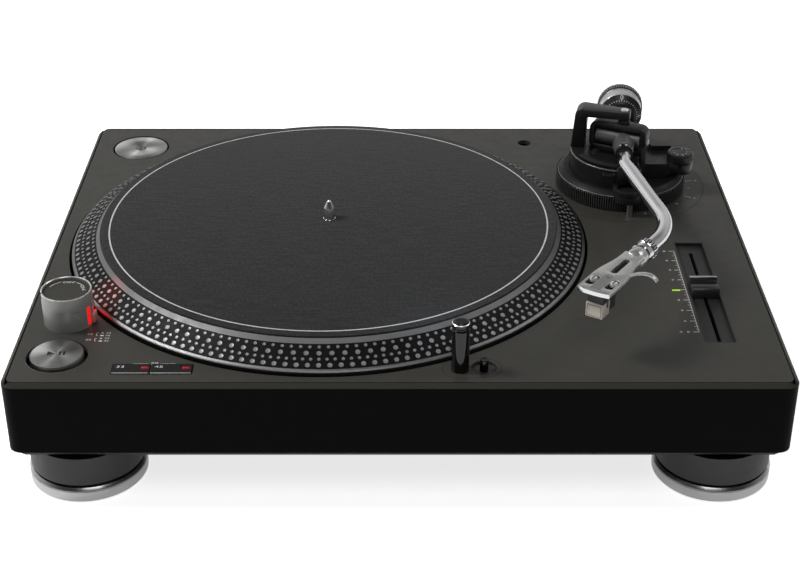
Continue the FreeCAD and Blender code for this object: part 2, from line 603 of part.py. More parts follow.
def keys_opening():
    return rectangle(KEYS_LEFT, KEYS_FRONT, KEYS_RIGHT, KEYS_BACK)


def key_sides():
    """Left and right edge of the two speed keys."""
    middle = S.key_gap / 2
    return {"33": (KEYS_LEFT + S.key_gap, KEYS_SPLIT - middle),
            "45": (KEYS_SPLIT + middle, KEYS_RIGHT - S.key_gap)}


def key_stems():
    return [((left + right) / 2 - S.key_stem_r, (KEYS_FRONT + KEYS_BACK) / 2)
            for left, right in key_sides().values()]


def lamp_shape(x, margin=0):
    half_w, half_d = S.lamp_w / 2 + margin, S.lamp_d / 2 + margin
    return rectangle(x - half_w, LAMP_Y - half_d, x + half_w, LAMP_Y + half_d)


def tempo_lamp_shape(margin=0):
    half_w, half_d = S.tempo_lamp_w / 2 + margin, S.tempo_lamp_d / 2 + margin
    return rectangle(TEMPO_LAMP_X - half_w, TEMPO_LAMP_Y - half_d,
                     TEMPO_LAMP_X + half_w, TEMPO_LAMP_Y + half_d)


def fader_throat(margin=0):
    """The narrower lower part of the fader's bezel."""
    edge = S.fader_edge - margin
    return rectangle(FADER_LEFT + edge, FADER_FRONT + edge, FADER_RIGHT - edge, FADER_BACK - edge)


def top_panel():
    """The flat panel inside the cabinet's trim, with every hole of the deck."""
    piece = Piece("top_panel", DECK)
    side_x = HALF_W - S.trim_w - S.groove_w
    side_y = HALF_D - S.trim_w - S.groove_w
    piece.pad(PANEL_LOW, as_size(0), rectangle(-side_x, -side_y, side_x, side_y))
    piece.round(S.corner_r - S.trim_w - S.groove_w, upright)
    piece.pocket(PANEL_LOW, as_size(0),
                 circle(PLATTER_X, PLATTER_Y, WELL_R),
                 circle(START_X, START_Y, START_RECESS_R),
                 circle(ADAPTER_X, ADAPTER_Y, ADAPTER_RECESS_R),
                 circle(LIGHT_X, LIGHT_Y, S.light_r + S.fit),
                 circle(RELEASE_X, RELEASE_Y, S.release_r + S.fit),
                 circle(SPARE_X, SPARE_Y, S.spare_r),
                 circle(*TOWER_SPOT, S.tower_foot_r + S.fit),
                 circle(POST_X, POST_Y, S.post_r + S.fit),
                 tempo_lamp_shape(S.fit), keys_opening(),
                 rectangle(FADER_LEFT, FADER_FRONT, FADER_RIGHT, FADER_BACK))
    piece.pocket(PANEL_LOW, as_size(0), circle(*ARM_SPOT, S.mount_r + S.gap))
    piece.pocket(-S.release_recess, as_size(0), circle(RELEASE_X, RELEASE_Y, S.release_recess_r))


def damping_base():
    """The rubber-mounted base pan that closes the cabinet from below, with posts for the boards."""
    piece = Piece("damping_base", TABLE.at(0, 0, S.pan_lift))
    side_x, side_y = HALF_W - S.pan_inset, HALF_D - S.pan_inset
    piece.pad(as_size(0), S.pan_t, rectangle(-side_x, -side_y, side_x, side_y))
    piece.round(S.corner_r - S.pan_inset, upright)
    piece.chamfer(S.pan_chamfer, at_height(as_size(0)))
    piece.pocket(as_size(0), S.pan_t, *[circle(x, y, S.screw_r + S.fit) for x, y in boss_places()],
                 *[circle(x, y, S.foot_stud_r + S.gap) for x, y in corners(FOOT_X, FOOT_Y)])
    piece.pocket(as_size(0), S.screw_head_t, *[circle(x, y, S.screw_head_r + S.gap) for x,
                                               y in boss_places()])
    piece.pad(S.pan_t, S.pan_t + S.board_z, *[circle(x, y, S.board_post_r) for x, y in board_posts()])
    piece.pad(S.pan_t, S.pan_t + S.supply_z, *[circle(x, y, S.board_post_r) for x, y in supply_posts()])


def inset_corners(left, right, front, back, inset):
    return [(x, y) for x in (left + inset, right - inset) for y in (front + inset, back - inset)]


def board_posts():
    return inset_corners(BOARD_LEFT, BOARD_RIGHT, BOARD_FRONT, BOARD_BACK, S.board_post_inset)


def supply_posts():
    return inset_corners(SUPPLY_LEFT, SUPPLY_RIGHT, SUPPLY_FRONT, SUPPLY_BACK, S.board_post_inset)


def base_screws():
    """Eight flat-head screws that hold the base pan to the cabinet's bosses."""
    head_top = S.screw_head_t
    tip = S.pan_t + S.screw_length
    screws = [fuse(cylinder(S.screw_head_r, 0, head_top, x, y), cylinder(S.screw_r, 0, tip, x, y))
              for x, y in boss_places()]
    finish(group(*screws), "base_screws", TABLE.at(0, 0, S.pan_lift))


# Platter and its motor

def platter():
    """The heavy cast platter: strobe rim, mat seat, hub and the magnet's seat below."""
    under = -S.platter_under
    web_low = MAT_SEAT - S.web_t
    core_low = web_low - S.core_t
    inner_r = RIM_R - S.rim_depth
    break_ = S.edge_break
    piece = Piece("platter", PLATTER)
    piece.turned([
        (S.shaft_big_r, under), (S.hub_r, under), (S.hub_r, core_low), (S.core_r, core_low),
        (S.core_r, web_low), (inner_r, web_low), (inner_r, under),
        (S.platter_r - break_, under), (S.platter_r, under + break_), (S.platter_r, S.lip_rise),
        (S.platter_r - S.lip_w, S.lip_rise + S.lip_step), (CONE_R, S.cone_top), (RIM_R, S.rim_top),
        (RIM_R - S.rim_wall, S.rim_top), (RIM_R - S.rim_wall, MAT_SEAT), (S.shaft_big_r, MAT_SEAT)])


def slip_mat():
    """The mat, which lies loose in the platter's recess and can slip round on it."""
    piece = Piece("slip_mat", PLATTER)
    piece.pad(MAT_SEAT, MAT_SEAT + S.mat_t, circle(0, 0, RIM_R - S.rim_wall - S.gap),
              circle(0, 0, S.shaft_big_r + S.gap))


def rotor_magnet():
    """The ring magnet under the platter."""
    top = MAT_SEAT - S.web_t - S.core_t
    piece = Piece("rotor_magnet", PLATTER)
    piece.pad(top - S.magnet_t, top, circle(0, 0, S.core_r - S.magnet_step), circle(0, 0, S.magnet_in_r))


def spindle():
    """The shaft that carries the platter, with the record's centring pin on top."""
    low, top = -S.spindle_drop, S.spindle_top
    piece = Piece("spindle", PLATTER)
    shoulder = MAT_SEAT + S.mat_t
    piece.turned([(0, low), (S.shaft_big_r, low), (S.shaft_big_r, shoulder), (S.spindle_r, shoulder),
                  (S.spindle_r, top - S.spindle_tip),
                  (S.spindle_nose_r, top - S.spindle_nose), (S.spindle_nose_r - S.spindle_nose, top),
                  (0, top)])


def stator_board():
    """The motor's board with its ring of coils, on the floor of the pit."""
    floor = -S.pit_depth
    piece = Piece("stator_board", PLATTER)
    piece.pad(floor, floor + S.stator_t, circle(0, 0, PIT_R - S.stator_gap), circle(0, 0, S.stator_in_r))
    coils = []
    for number in range(int(S.coil_count.value)):
        angle = as_size(360) * number / S.coil_count
        coils.append(circle(S.coil_ring_r * cos(angle), S.coil_ring_r * sin(angle), S.coil_r))
    piece.pad(floor + S.stator_t, floor + S.stator_t + S.coil_height, *coils)


def bearing_housing():
    """The brass bearing that the spindle turns in, closed at the bottom."""
    floor = -S.pit_depth
    bore = S.shaft_big_r + S.fit
    bottom = -S.bearing_bottom
    piece = Piece("bearing_housing", PLATTER)
    piece.turned([(0, bottom), (S.bearing_r, bottom), (S.bearing_r, floor), (S.bearing_flange_r, floor),
                  (S.bearing_flange_r, floor + S.bearing_flange_t), (S.bearing_r,
                                                                     floor + S.bearing_flange_t),
                  (S.bearing_r - S.edge_break, -S.bearing_top), (bore, -S.bearing_top),
                  (bore, -S.spindle_drop),
                  (0, -S.spindle_drop)])


# Controls

def start_stop_button():
    """The large round start and stop button on its stem."""
    piece = Piece("start_stop_button", DECK.at(START_X, START_Y, 0))
    low = S.start_rise - S.start_t
    piece.turned([(0, low - S.start_stem), (S.start_stem_r, low - S.start_stem), (S.start_stem_r, low),
                  (S.start_r, low), (S.start_r, S.start_rise - S.edge_break / 2),
                  (S.start_r - S.edge_break / 2, S.start_rise), (0, S.start_rise)])


def speed_key(name, lamp_x):
    """A speed key with its stem and the window for its lamp."""
    left, right = key_sides()[name]
    stem = dict(zip(key_sides(), key_stems()))[name]
    low = S.key_rise - S.key_t
    piece = Piece(f"button_{name}", DECK)
    piece.pad(low, S.key_rise, rectangle(left, KEYS_FRONT + S.key_gap, right, KEYS_BACK - S.key_gap))
    piece.round(S.key_round, upright)
    piece.pad(low - S.key_stem, low, circle(*stem, S.key_stem_r))
    piece.pocket(low, S.key_rise, lamp_shape(lamp_x, S.gap))


def indicator_lenses():
    """The two speed lamps and the tempo lamp, each a clear bar down to the board."""
    lenses = []
    for x in (LAMP_33_X, LAMP_45_X):
        lenses.append(box(x - S.lamp_w / 2, LAMP_Y - S.lamp_d / 2, -S.lamp_drop,
                          x + S.lamp_w / 2, LAMP_Y + S.lamp_d / 2, S.key_rise))
    x, y = TEMPO_LAMP_X, TEMPO_LAMP_Y
    lenses.append(box(x - S.tempo_lamp_w / 2, y - S.tempo_lamp_d / 2, SHELF_LOW,
                      x + S.tempo_lamp_w / 2, y + S.tempo_lamp_d / 2, S.tempo_lamp_rise))
    finish(group(*lenses), "indicator_lenses", DECK)


def tower_base():
    """The fixed strobe tower: a drum on the deck, its foot in the shelf and a post for the dial's face."""
    face_low = S.tower_top - S.dial_rim_drop - S.dial_face_t
    piece = Piece("tower_base", TOWER)
    piece.turned([(0, -S.tower_drop), (S.tower_foot_r, -S.tower_drop), (S.tower_foot_r, 0), (S.tower_r, 0),
                  (S.tower_r, S.tower_h), (S.dial_post_r, S.tower_h), (S.dial_post_r, face_low),
                  (0, face_low)])
    half = S.window_w / 2 + S.fit
    turn = FRAME_WINDOW
    window_cut = piece.body.newObject("PartDesign::SubtractiveBox", "WindowCut")
    bind(window_cut, "Length", S.tower_r)
    bind(window_cut, "Width", half * 2)
    bind(window_cut, "Height", S.window_h + S.fit * 2)
    place(window_cut, turn.at(S.tower_r - S.window_in, -half, S.window_low - S.fit))


FRAME_WINDOW = TABLE.at(0, 0, 0, ("z", S.window_turn))


def strobe_window():
    """The red window on the platter's side of the tower, with its lens outside."""
    half = S.window_w / 2
    inner = S.tower_r - S.window_in
    outer = S.tower_r + S.window_out
    low, high = S.window_low, S.window_low + S.window_h
    piece = Piece("strobe_window", TOWER.at(0, 0, 0, ("z", S.window_turn)))
    piece.pad(low, high, rectangle(inner, -half, outer, half))
    piece.round(S.window_round, lambda edge: edge.BoundBox.XMin > outer.value - 0.01)


def power_dial():
    """The ring that turns round the tower's top to switch the power."""
    low = S.tower_h + S.dial_gap
    inner = S.tower_r - S.dial_rim_w
    step = S.tower_top - S.dial_rim_drop - S.dial_face_t - S.gap
    piece = Piece("power_dial", TOWER)
    piece.turned([(S.dial_post_r + S.fit, low), (S.tower_r, low), (S.tower_r, S.tower_top),
                  (inner, S.tower_top), (inner, step), (S.dial_post_r + S.fit, step)])


def dial_face():
    """The fixed face inside the power dial."""
    low = S.tower_top - S.dial_rim_drop - S.dial_face_t
    piece = Piece("dial_face", TOWER)
    piece.pad(low, low + S.dial_face_t, circle(0, 0, S.tower_r - S.dial_rim_w - S.gap))


def adapter_45():
    """The loose adapter for wide-hole records, stored flush in its recess."""
    piece = Piece("adapter_45", DECK.at(ADAPTER_X, ADAPTER_Y, 0))
    piece.turned([(S.adapter_hole_r, -S.adapter_t), (S.adapter_r, -S.adapter_t),
                  (S.adapter_r, -S.adapter_edge),
                  (S.adapter_r - S.adapter_edge, 0), (S.adapter_hole_r, 0)])


def target_light():
    """The pop-up stylus light: a round bar with a capped top."""
    piece = Piece("target_light", DECK.at(LIGHT_X, LIGHT_Y, 0))
    top = S.light_top
    neck = top - S.light_cap
    piece.turned([(0, -S.light_drop), (S.light_r, -S.light_drop), (S.light_r, neck - S.light_neck),
                  (S.light_neck_r, neck - S.light_neck), (S.light_neck_r, neck), (S.light_r, neck),
                  (S.light_r - S.light_brow_w, top - S.light_brow), (S.light_r - S.light_dome_w, top),
                  (0, top)])


def light_button():
    """The small button that lets the stylus light pop up."""
    piece = Piece("light_button", DECK.at(RELEASE_X, RELEASE_Y, 0))
    piece.turned([(0, -S.release_drop), (S.release_r, -S.release_drop),
                  (S.release_r, S.release_top - S.fine_edge),
                  (S.release_r - S.fine_edge, S.release_top), (0, S.release_top)])


def control_bezel():
    """The tempo fader's recessed plate, with the slot for the knob's stem."""
    piece = Piece("control_bezel", DECK)
    piece.pad(PANEL_LOW, as_size(0), rectangle(FADER_LEFT + S.fit, FADER_FRONT + S.fit,
                                               FADER_RIGHT - S.fit, FADER_BACK - S.fit))
    piece.pad(-S.fader_t, PANEL_LOW, fader_throat())
    piece.pocket(-S.fader_recess, as_size(0), fader_throat())
    piece.pocket(-S.fader_t, as_size(0), rectangle(CHANNEL_X - S.slot_w / 2, SLOT_FRONT,
                                                   CHANNEL_X + S.slot_w / 2, SLOT_BACK))


def fader_mechanism():
    """The slide control under the bezel, open along its top for the stem."""
    half = S.fader_box_w / 2
    front, back = SLOT_FRONT - S.fader_box_end, SLOT_BACK + S.fader_box_end
    top = -S.fader_box_drop
    piece = Piece("fader_mechanism", DECK)
    piece.pad(top - S.fader_box_h, top, rectangle(CHANNEL_X - half, front, CHANNEL_X + half, back))
    channel = S.fader_channel_w / 2
    piece.pocket(top - S.fader_channel, top, rectangle(CHANNEL_X - channel, SLOT_FRONT,
                                                       CHANNEL_X + channel, SLOT_BACK))


def fader_knob():
    """The tempo fader's broad cap on its flat stem."""
    low = -S.fader_recess + S.fader_cap_lift
    half_w, half_d = S.fader_cap_w / 2, S.fader_cap_d / 2
    piece = Piece("fader_knob", DECK.at(CHANNEL_X, (SLOT_FRONT + SLOT_BACK) / 2 + S.fader_rest, 0))
    piece.pad(low, low + S.fader_cap_h, rectangle(-half_w, -half_d, half_w, half_d))
    piece.chamfer(S.fader_cap_bevel, at_height(low + S.fader_cap_h))
    piece.pad(low - S.fader_stem, low, rectangle(-S.fader_stem_w / 2, -S.fader_stem_d / 2,
                                                 S.fader_stem_w / 2, S.fader_stem_d / 2))


# Tonearm base

TURRET_INNER = S.turret_r + S.gap


def arm_mount_plate():
    """The plate that closes the deck round the tonearm, with the sleeve that guides its stem."""
    bore = S.stem_r + S.fit
    piece = Piece("arm_mount_plate", ARM_BASE)
    piece.turned([(bore, -S.mount_hub_drop), (S.mount_hub_r, -S.mount_hub_drop), (S.mount_hub_r, PANEL_LOW),
                  (S.mount_r, PANEL_LOW), (S.mount_r, 0), (S.sleeve_out_r, 0),
                  (S.sleeve_out_r, S.sleeve_top),
                  (bore, S.sleeve_top)])


def height_ring():
    """The ribbed ring that sets the tonearm's height; it turns on the tonearm base and rises with it."""
    lip_r = S.sleeve_out_r + S.gap
    piece = Piece("height_ring", ARM_BASE)
    piece.turned([(lip_r, 0), (S.ring_r, 0), (S.ring_r, S.ring_h), (S.ring_top_r, S.ring_top),
                  (TURRET_INNER, S.ring_top), (TURRET_INNER, S.ring_lip), (lip_r, S.ring_lip)])


def arm_base():
    """The tonearm's turret on its stem, with the gimbal's recess and the pocket for the cue lever."""
    low, top = S.turret_low, S.turret_top
    floor = top - S.turret_recess
    edge = S.turret_edge
    piece = Piece("arm_base", ARM_BASE)
    piece.turned([(S.cable_bore_r, -S.stem_drop), (S.stem_r, -S.stem_drop), (S.stem_r, low),
                  (S.turret_r, low),
                  (S.turret_r, top - edge), (S.turret_r - edge, top), (S.turret_recess_r, top),
                  (S.turret_recess_r, floor), (S.turret_pin_r, floor),
                  (S.turret_pin_r, floor + S.turret_pin), (0, floor + S.turret_pin),
                  (0, floor - S.turret_web),
                  (S.cable_bore_r, floor - S.turret_web)])
    piece.pocket(S.pocket_floor, top, rectangle(S.pocket_left, -S.ring_r, S.ring_r, S.pocket_back))
    piece.pocket(S.skate_top, top, rectangle(S.skate_cut, S.pocket_back, S.ring_r, S.skate_back))
    piece.pocket(top - S.shaft_cut, top, rectangle(S.shaft_cut_left, S.shaft_cut_front, S.ring_r, S.ring_r))
    post_x, post_y = lifter_post_place()
    piece.pocket(S.lifter_top - S.lifter_t - S.lifter_post - S.gap, top,
                 circle(post_x, post_y, S.lifter_post_r + S.fit))
    piece.pocket_x(S.pocket_left - S.cue_pin - S.fit, S.pocket_left,
                   circle(-S.cue_ahead, S.cue_z, S.cue_pin_r + S.fit))


def lifter_bracket():
    """The bracket in front of the turret: a dished nose, the arm's saddle and the cue lever's ear."""
    left, right = S.rest_left, S.rest_right
    piece = Piece("lifter_bracket", ARM_BASE)
    piece.pad(S.rest_under, S.rest_top, rectangle(left, S.rest_front, right, S.rest_back))
    piece.pad(S.rest_nose_under, S.rest_under, rectangle(left, S.rest_front, right, S.rest_nose_back))
    piece.round(S.rest_round, lambda edge: upright(edge) and edge.BoundBox.YMax < S.rest_front.value + 0.01)
    edge = S.rest_dish_edge
    piece.pocket(S.rest_top - S.rest_dish, S.rest_top,
                 circle((left + right) / 2, S.rest_front + S.rest_round, S.rest_round - edge))
    piece.pocket(S.rest_nose_under, S.post_top + S.gap,
                 circle(S.post_right, -S.post_ahead, S.post_r + S.fit))
    saddle_x, saddle_y = on_arm(S.saddle_l)
    half_w, half_d = S.saddle_w / 2, S.saddle_d / 2
    cheek_x = saddle_x + half_w + S.cheek_gap
    piece.pad(S.rest_top, S.saddle_top, rectangle(saddle_x - half_w, saddle_y - half_d,
                                                  saddle_x + half_w, saddle_y + half_d))
    piece.pad(S.rest_top, S.cheek_top, rectangle(cheek_x, saddle_y - half_d, cheek_x + S.cheek_w,
                                                 saddle_y + half_d))
    piece.pad(S.rest_top, S.saddle_top - S.saddle_step, rectangle(saddle_x + half_w, saddle_y - half_d,
                                                                  cheek_x, saddle_y + half_d))
    trim = piece.body.newObject("PartDesign::SubtractiveCylinder", "TurretCut")
    bind(trim, "Radius", S.turret_r + S.fit)
    bind(trim, "Height", S.turret_top)


def on_arm(length):
    """Plan position, from the pivot, of a point on the arm's main axis."""
    return cos(S.arm_turn) * length, sin(S.arm_turn) * length


def guide_post():
    """The chrome post in the deck that keeps the tonearm base from turning."""
    piece = Piece("guide_post", DECK.at(POST_X, POST_Y, 0))
    piece.pad(-S.post_drop, S.post_top, circle(0, 0, S.post_r))


def antiskate_bracket():
    """The arm at the turret's right that carries the anti-skate dial."""
    x0, y0 = S.skate_right, -S.skate_ahead
    front, back = -S.skate_front, S.skate_back
    piece = Piece("antiskate_bracket", ARM_BASE)
    piece.pad(S.skate_low, S.skate_top, outline([(S.skate_left, front), (x0, front),
                                                 (x0 + S.skate_shoulder, y0 + S.skate_shoulder_back),
                                                 (x0 - S.skate_corner, back), (S.skate_left, back)]))
    piece.pad(S.skate_low, S.skate_top, circle(x0, y0, S.skate_r))
    piece.pocket(S.skate_top - S.skate_stub, S.skate_top, circle(x0, y0, S.skate_stub_r + S.fit))
    trim = piece.body.newObject("PartDesign::SubtractiveCylinder", "TurretCut")
    bind(trim, "Radius", S.turret_r + S.fit)
    bind(trim, "Height", S.turret_top)


def antiskate_dial():
    """The anti-skate dial on its stub."""
    x0, y0 = S.skate_right, -S.skate_ahead
    piece = Piece("antiskate_dial", ARM_BASE.at(x0, y0, S.skate_top))
    height = S.skate_dial_top - S.skate_top
    piece.turned([(0, -(S.skate_stub - S.gap)), (S.skate_stub_r, -(S.skate_stub - S.gap)),
                  (S.skate_stub_r, 0),
                  (S.skate_r, 0), (S.skate_r, height - S.fine_edge),
                  (S.skate_r - S.fine_edge, height), (0, height)])


def cue_lever():
    """The flat lever that works the arm's lifter."""
    half = S.cue_d / 2
    piece = Piece("cue_lever", ARM_BASE.at(S.cue_right, -S.cue_ahead, S.cue_z))
    height = S.cue_top - S.cue_z
    piece.pad_x(as_size(0), S.cue_w, outline([(-half, -half), (half, -half), (half, height - S.cue_slant),
                                              (-half, height)]))
    piece.pad_x(-(S.cue_pin - S.gap), as_size(0), circle(0, 0, S.cue_pin_r))


def lifter_bar():
    """The curved bar that raises the arm, on its post in the turret."""
    piece = Piece("lifter_bar", ARM_BASE)
    inner, outer = S.lifter_in_r, S.lifter_out_r
    start, stop = S.lifter_from, S.lifter_to
    half = (start + stop) / 2
    def rim(radius, angle):
        return radius * cos(angle), radius * sin(angle)
    piece.pad(S.lifter_top - S.lifter_t, S.lifter_top, outline([
        (*rim(inner, start), -inner), (*rim(outer, start),), (*rim(outer, half), outer),
        (*rim(outer, stop), outer), (*rim(inner, stop),), (*rim(inner, half), -inner)]))
    low = S.lifter_top - S.lifter_t
    piece.pad(low - S.lifter_post, low, circle(*lifter_post_place(), S.lifter_post_r))


def lifter_post_place():
    """Where the lifter's post goes down into the turret."""
    middle = (S.lifter_in_r + S.lifter_out_r) / 2
    return middle * cos(S.lifter_post_turn), middle * sin(S.lifter_post_turn)


def rest_clip():
    """The clip that swings up beside the resting arm; it lies open at its left."""
    saddle_x, saddle_y = on_arm(S.saddle_l)
    hinge_x = saddle_x - S.saddle_w / 2 - S.clip_pin_r - S.gap
    piece = Piece("rest_clip", ARM_BASE.at(hinge_x, saddle_y, S.clip_z))
    half = S.clip_d / 2
    piece.pad_y(-half, half, outline([(0, -S.clip_t / 2), (0, S.clip_t / 2),
                                      (-S.clip_l + S.clip_tip_w, S.clip_t / 2),
                                      (-S.clip_l + S.clip_tip_w, S.clip_tip), (-S.clip_l, S.clip_tip),
                                      (-S.clip_l, -S.clip_t / 2)]))
    piece.pad_y(-half, half, circle(0, 0, S.clip_pin_r))


# Yoke, gimbal and tonearm

def yoke():
    """The bridge over the gimbal, with the upper pivot and its screw."""
    piece = Piece("yoke", YOKE)
    base = S.turret_top
    piece.pad_y(S.yoke_front, S.yoke_back, outline([
        (S.yoke_foot_x, base), (S.yoke_inner_foot_x, base), (S.yoke_inner_x, S.yoke_under),
        (S.yoke_tip_x, S.yoke_under), (S.yoke_tip_x, S.yoke_top), (S.yoke_top_x, S.yoke_top)]))
    piece.round(S.yoke_round, lambda edge: edge.Curve.TypeId == "Part::GeomLine"
                and edge.BoundBox.XMax < S.yoke_top_x.value + 0.01
                and edge.BoundBox.ZMin > S.yoke_top.value - 0.01)
    over, past = S.yoke_back + S.overcut, S.yoke_tip_x + S.overcut
    piece.pocket(S.yoke_under, S.yoke_top, outline([(S.yoke_waist, over), (S.yoke_waist, S.yoke_back),
                                                    (0, S.yoke_tip_back), (past, S.yoke_tip_back),
                                                    (past, over)]))
    ring_top = S.pivot_z + S.gimbal_top
    piece.pad(ring_top + S.gap, S.yoke_under, circle(0, 0, S.yoke_cup_r))
    piece.pad(ring_top - S.gimbal_pin_depth + S.gap, ring_top + S.gap, circle(0, 0, S.yoke_pin_r))
    piece.pad(S.yoke_top, S.yoke_top + S.yoke_screw, circle(0, 0, S.yoke_screw_r))


def gimbal_ring():
    """The ring that carries the arm's level bearings and turns on the upright pivot."""
    left, right, low, top = -S.gimbal_left, S.gimbal_right, S.gimbal_low, S.gimbal_top
    depth = S.gimbal_depth / 2
    wall = S.gimbal_wall
    piece = Piece("gimbal_ring", GIMBAL)
    piece.pad_y(-depth, depth, rectangle(left, low, right, top))
    piece.round(S.gimbal_round, lambda edge: edge.Curve.TypeId == "Part::GeomLine"
                and edge.BoundBox.XLength < 0.01 and edge.BoundBox.ZLength < 0.01)
    piece.pad_x(left - S.side_screw, left + wall, circle(0, 0, S.side_screw_r))
    piece.pad_x(right - wall, right + S.side_screw, circle(0, 0, S.side_screw_r))
    round_ = S.gimbal_inner_round
    left, right = left + wall, right - wall
    under, over = low + wall, top - wall
    piece.pocket_y(-depth, depth, outline([
        (left + round_, under, round_), (right - round_, under), (right, under + round_, round_),
        (right, over - round_), (right - round_, over, round_), (left + round_, over),
        (left, over - round_, round_), (left, under + round_)]))
    piece.pad_x(left, left + S.side_pin, circle(0, 0, S.side_pin_r))
    piece.pad_x(right - S.side_pin, right, circle(0, 0, S.side_pin_r))
    piece.pocket(low, low + S.gimbal_pin_depth, circle(0, 0, S.turret_pin_r + S.fit))
    piece.pocket(top - S.gimbal_pin_depth, top, circle(0, 0, S.yoke_pin_r + S.fit))


def pivot_block():
    """The arm's hub: the level bearing barrel, the tapered nose and the threaded rear shaft."""
    left = -(S.gimbal_left - S.gimbal_wall - S.key_gap)
    right = S.gimbal_right - S.gimbal_wall - S.key_gap
    barrel = cylinder(S.pivot_r, left, right, 0, 0, "x")
    joined_turn = TABLE.at(0, 0, 0, ("y", -S.arm_tilt), ("z", S.gimbal_turn - S.arm_turn))
    holes = [cylinder(S.side_pin_r + S.fit, left - S.overcut, left + S.side_pin, 0, 0, "x"),
             cylinder(S.side_pin_r + S.fit, right - S.side_pin, right + S.overcut, 0, 0, "x")]
    bearing = cut(barrel, *holes)
    place(bearing, joined_turn)
    spine = nose_and_shaft()
    finish(fuse(bearing, spine), "pivot_block", ARM)


def nose_and_shaft():
    """The turned parts along the arm's main axis."""
    body = doc.addObject("PartDesign::Body", "Spine")
    helper = Piece.__new__(Piece)
    helper.body = body
    helper.turned_x([
        (-S.shaft_end, 0), (-S.shaft_end, S.shaft_r), (-S.shaft_start, S.shaft_r),
        (S.nose_neck_x, S.arm_neck_r),
        (S.nose_start_x, S.nose_start_r), (S.nose_mid_x, S.nose_mid_r), (S.nose_end_x, S.nose_end_r),
        (S.nose_end_x, S.nose_ring_r), (S.nose_ring_x, S.nose_ring_r), (S.nose_ring_x, S.tube_r + S.fit),
        (S.tube_start_x, S.tube_r + S.fit), (S.tube_start_x, 0)])
    return body


def arm_path():
    """Corner points of the tube's middle line: start, two bends with their radii, and the end."""
    first = S.bend_1_angle
    second = S.bend_1_angle - S.bend_2_angle
    cut_1 = S.bend_1_r * tan(S.bend_1_angle / 2)
    cut_2 = S.bend_2_r * tan(S.bend_2_angle / 2)
    points = [(S.tube_start_x, as_size(0)), (S.bend_1_x - cut_1, as_size(0)),
              (S.bend_1_x + cut_1 * cos(first), cut_1 * sin(first), S.bend_1_r),
              (S.bend_2_x - cut_2 * cos(first), S.bend_2_y - cut_2 * sin(first)),
              (S.bend_2_x + cut_2 * cos(second), S.bend_2_y + cut_2 * sin(second), -S.bend_2_r),
              (S.bend_2_x + S.tube_end * cos(second), S.bend_2_y + S.tube_end * sin(second))]
    return points


def open_line(points):
    """An open run of lines and arcs, in the same form as an outline."""
    def draw(drawing):
        for start, end in zip(points, points[1:]):
            a, b = spot(start[0], start[1]), spot(end[0], end[1])
            if len(end) == 3:
                forward = end[2].value > 0
                edge = drawing.addGeometry(arc_between(a, b, end[2].value), False)
                measure(drawing, "Radius", edge, end[2] if forward else -end[2])
            else:
                forward = True
                edge = drawing.addGeometry(Part.LineSegment(a, b), False)
            pin(drawing, edge, 1 if forward else 2, start[0], start[1])
            pin(drawing, edge, 2 if forward else 1, end[0], end[1])
    return draw


def arm_tube():
    """The bent chrome tube."""
    piece = Piece("arm_tube", ARM)
    path = piece.sketch("xy", 0, [open_line(arm_path())])
    ring = piece.sketch("yz", S.tube_start_x, [circle(0, 0, S.tube_r), circle(0, 0, S.tube_bore_r)])
    pipe = piece.body.newObject("PartDesign::AdditivePipe", "Tube")
    pipe.Profile = ring
    pipe.Spine = path


def locking_nut():
    """The knurled nut that locks the headshell to the tube."""
    piece = Piece("locking_nut", HEAD)
    bore = S.tube_r + S.fit
    lip = S.nut_lip
    piece.turned_x([(S.nut_start, bore), (S.nut_start, S.nut_r - lip), (S.nut_start + lip, S.nut_r),
                    (S.nut_end - lip, S.nut_r), (S.nut_end, S.nut_r - lip), (S.nut_end, bore)])


def headshell():
    """The headshell: plug and collar behind, a plate that widens to the front, slots and the finger lift."""
    top = S.shell_top
    low = top - S.shell_t
    piece = Piece("headshell", HEAD)
    side = [(S.collar_end - S.overcut, S.collar_r), (S.shell_waist, S.shell_waist_half),
            (S.shell_wide, S.shell_half),
            (S.shell_front - S.shell_bow, S.shell_half)]
    right = [(x, -y) for x, y in side]
    bow_r = (S.shell_half * S.shell_half + S.shell_bow * S.shell_bow) / (S.shell_bow * 2)
    front = (S.shell_front - S.shell_bow, S.shell_half, bow_r)
    piece.pad(low, top, outline([right[0], right[1], right[2], right[3], front,
                                 side[2], side[1], side[0]]))
    slot_half = S.finger_slot_w / 2
    piece.pocket(low, top, rectangle(S.finger_slot_from, -slot_half, S.finger_slot_to, slot_half),
                 circle(S.finger_hole_x, 0, S.finger_hole_r),
                 *[rectangle(S.screw_slot_from, sign * S.screw_pitch / 2 - S.screw_slot_w / 2,
                             S.screw_slot_to, sign * S.screw_pitch / 2 + S.screw_slot_w / 2)
                   for sign in (-1, 1)])
    piece.turned_x([(S.plug_end, 0), (S.plug_end, S.plug_r), (S.collar_start, S.plug_r),
                    (S.collar_start, S.collar_r), (S.collar_end, S.collar_r), (S.collar_end, 0)])
    rise = top + S.lift_rise
    under = S.lift_t
    root, foot = S.shell_half - S.lift_lap, S.shell_half + S.lift_foot
    knee = S.shell_half + S.lift_slope
    crest = S.lift_out - S.lift_slope
    piece.pad_x(S.lift_x - S.lift_w / 2, S.lift_x + S.lift_w / 2, outline([
        (root, top - under), (foot, top - under), (knee, rise - under), (crest, rise), (S.lift_out, top),
        (S.lift_out, top + under), (crest, rise + under), (knee - S.lift_foot, rise), (S.shell_half, top),
        (root, top)]))


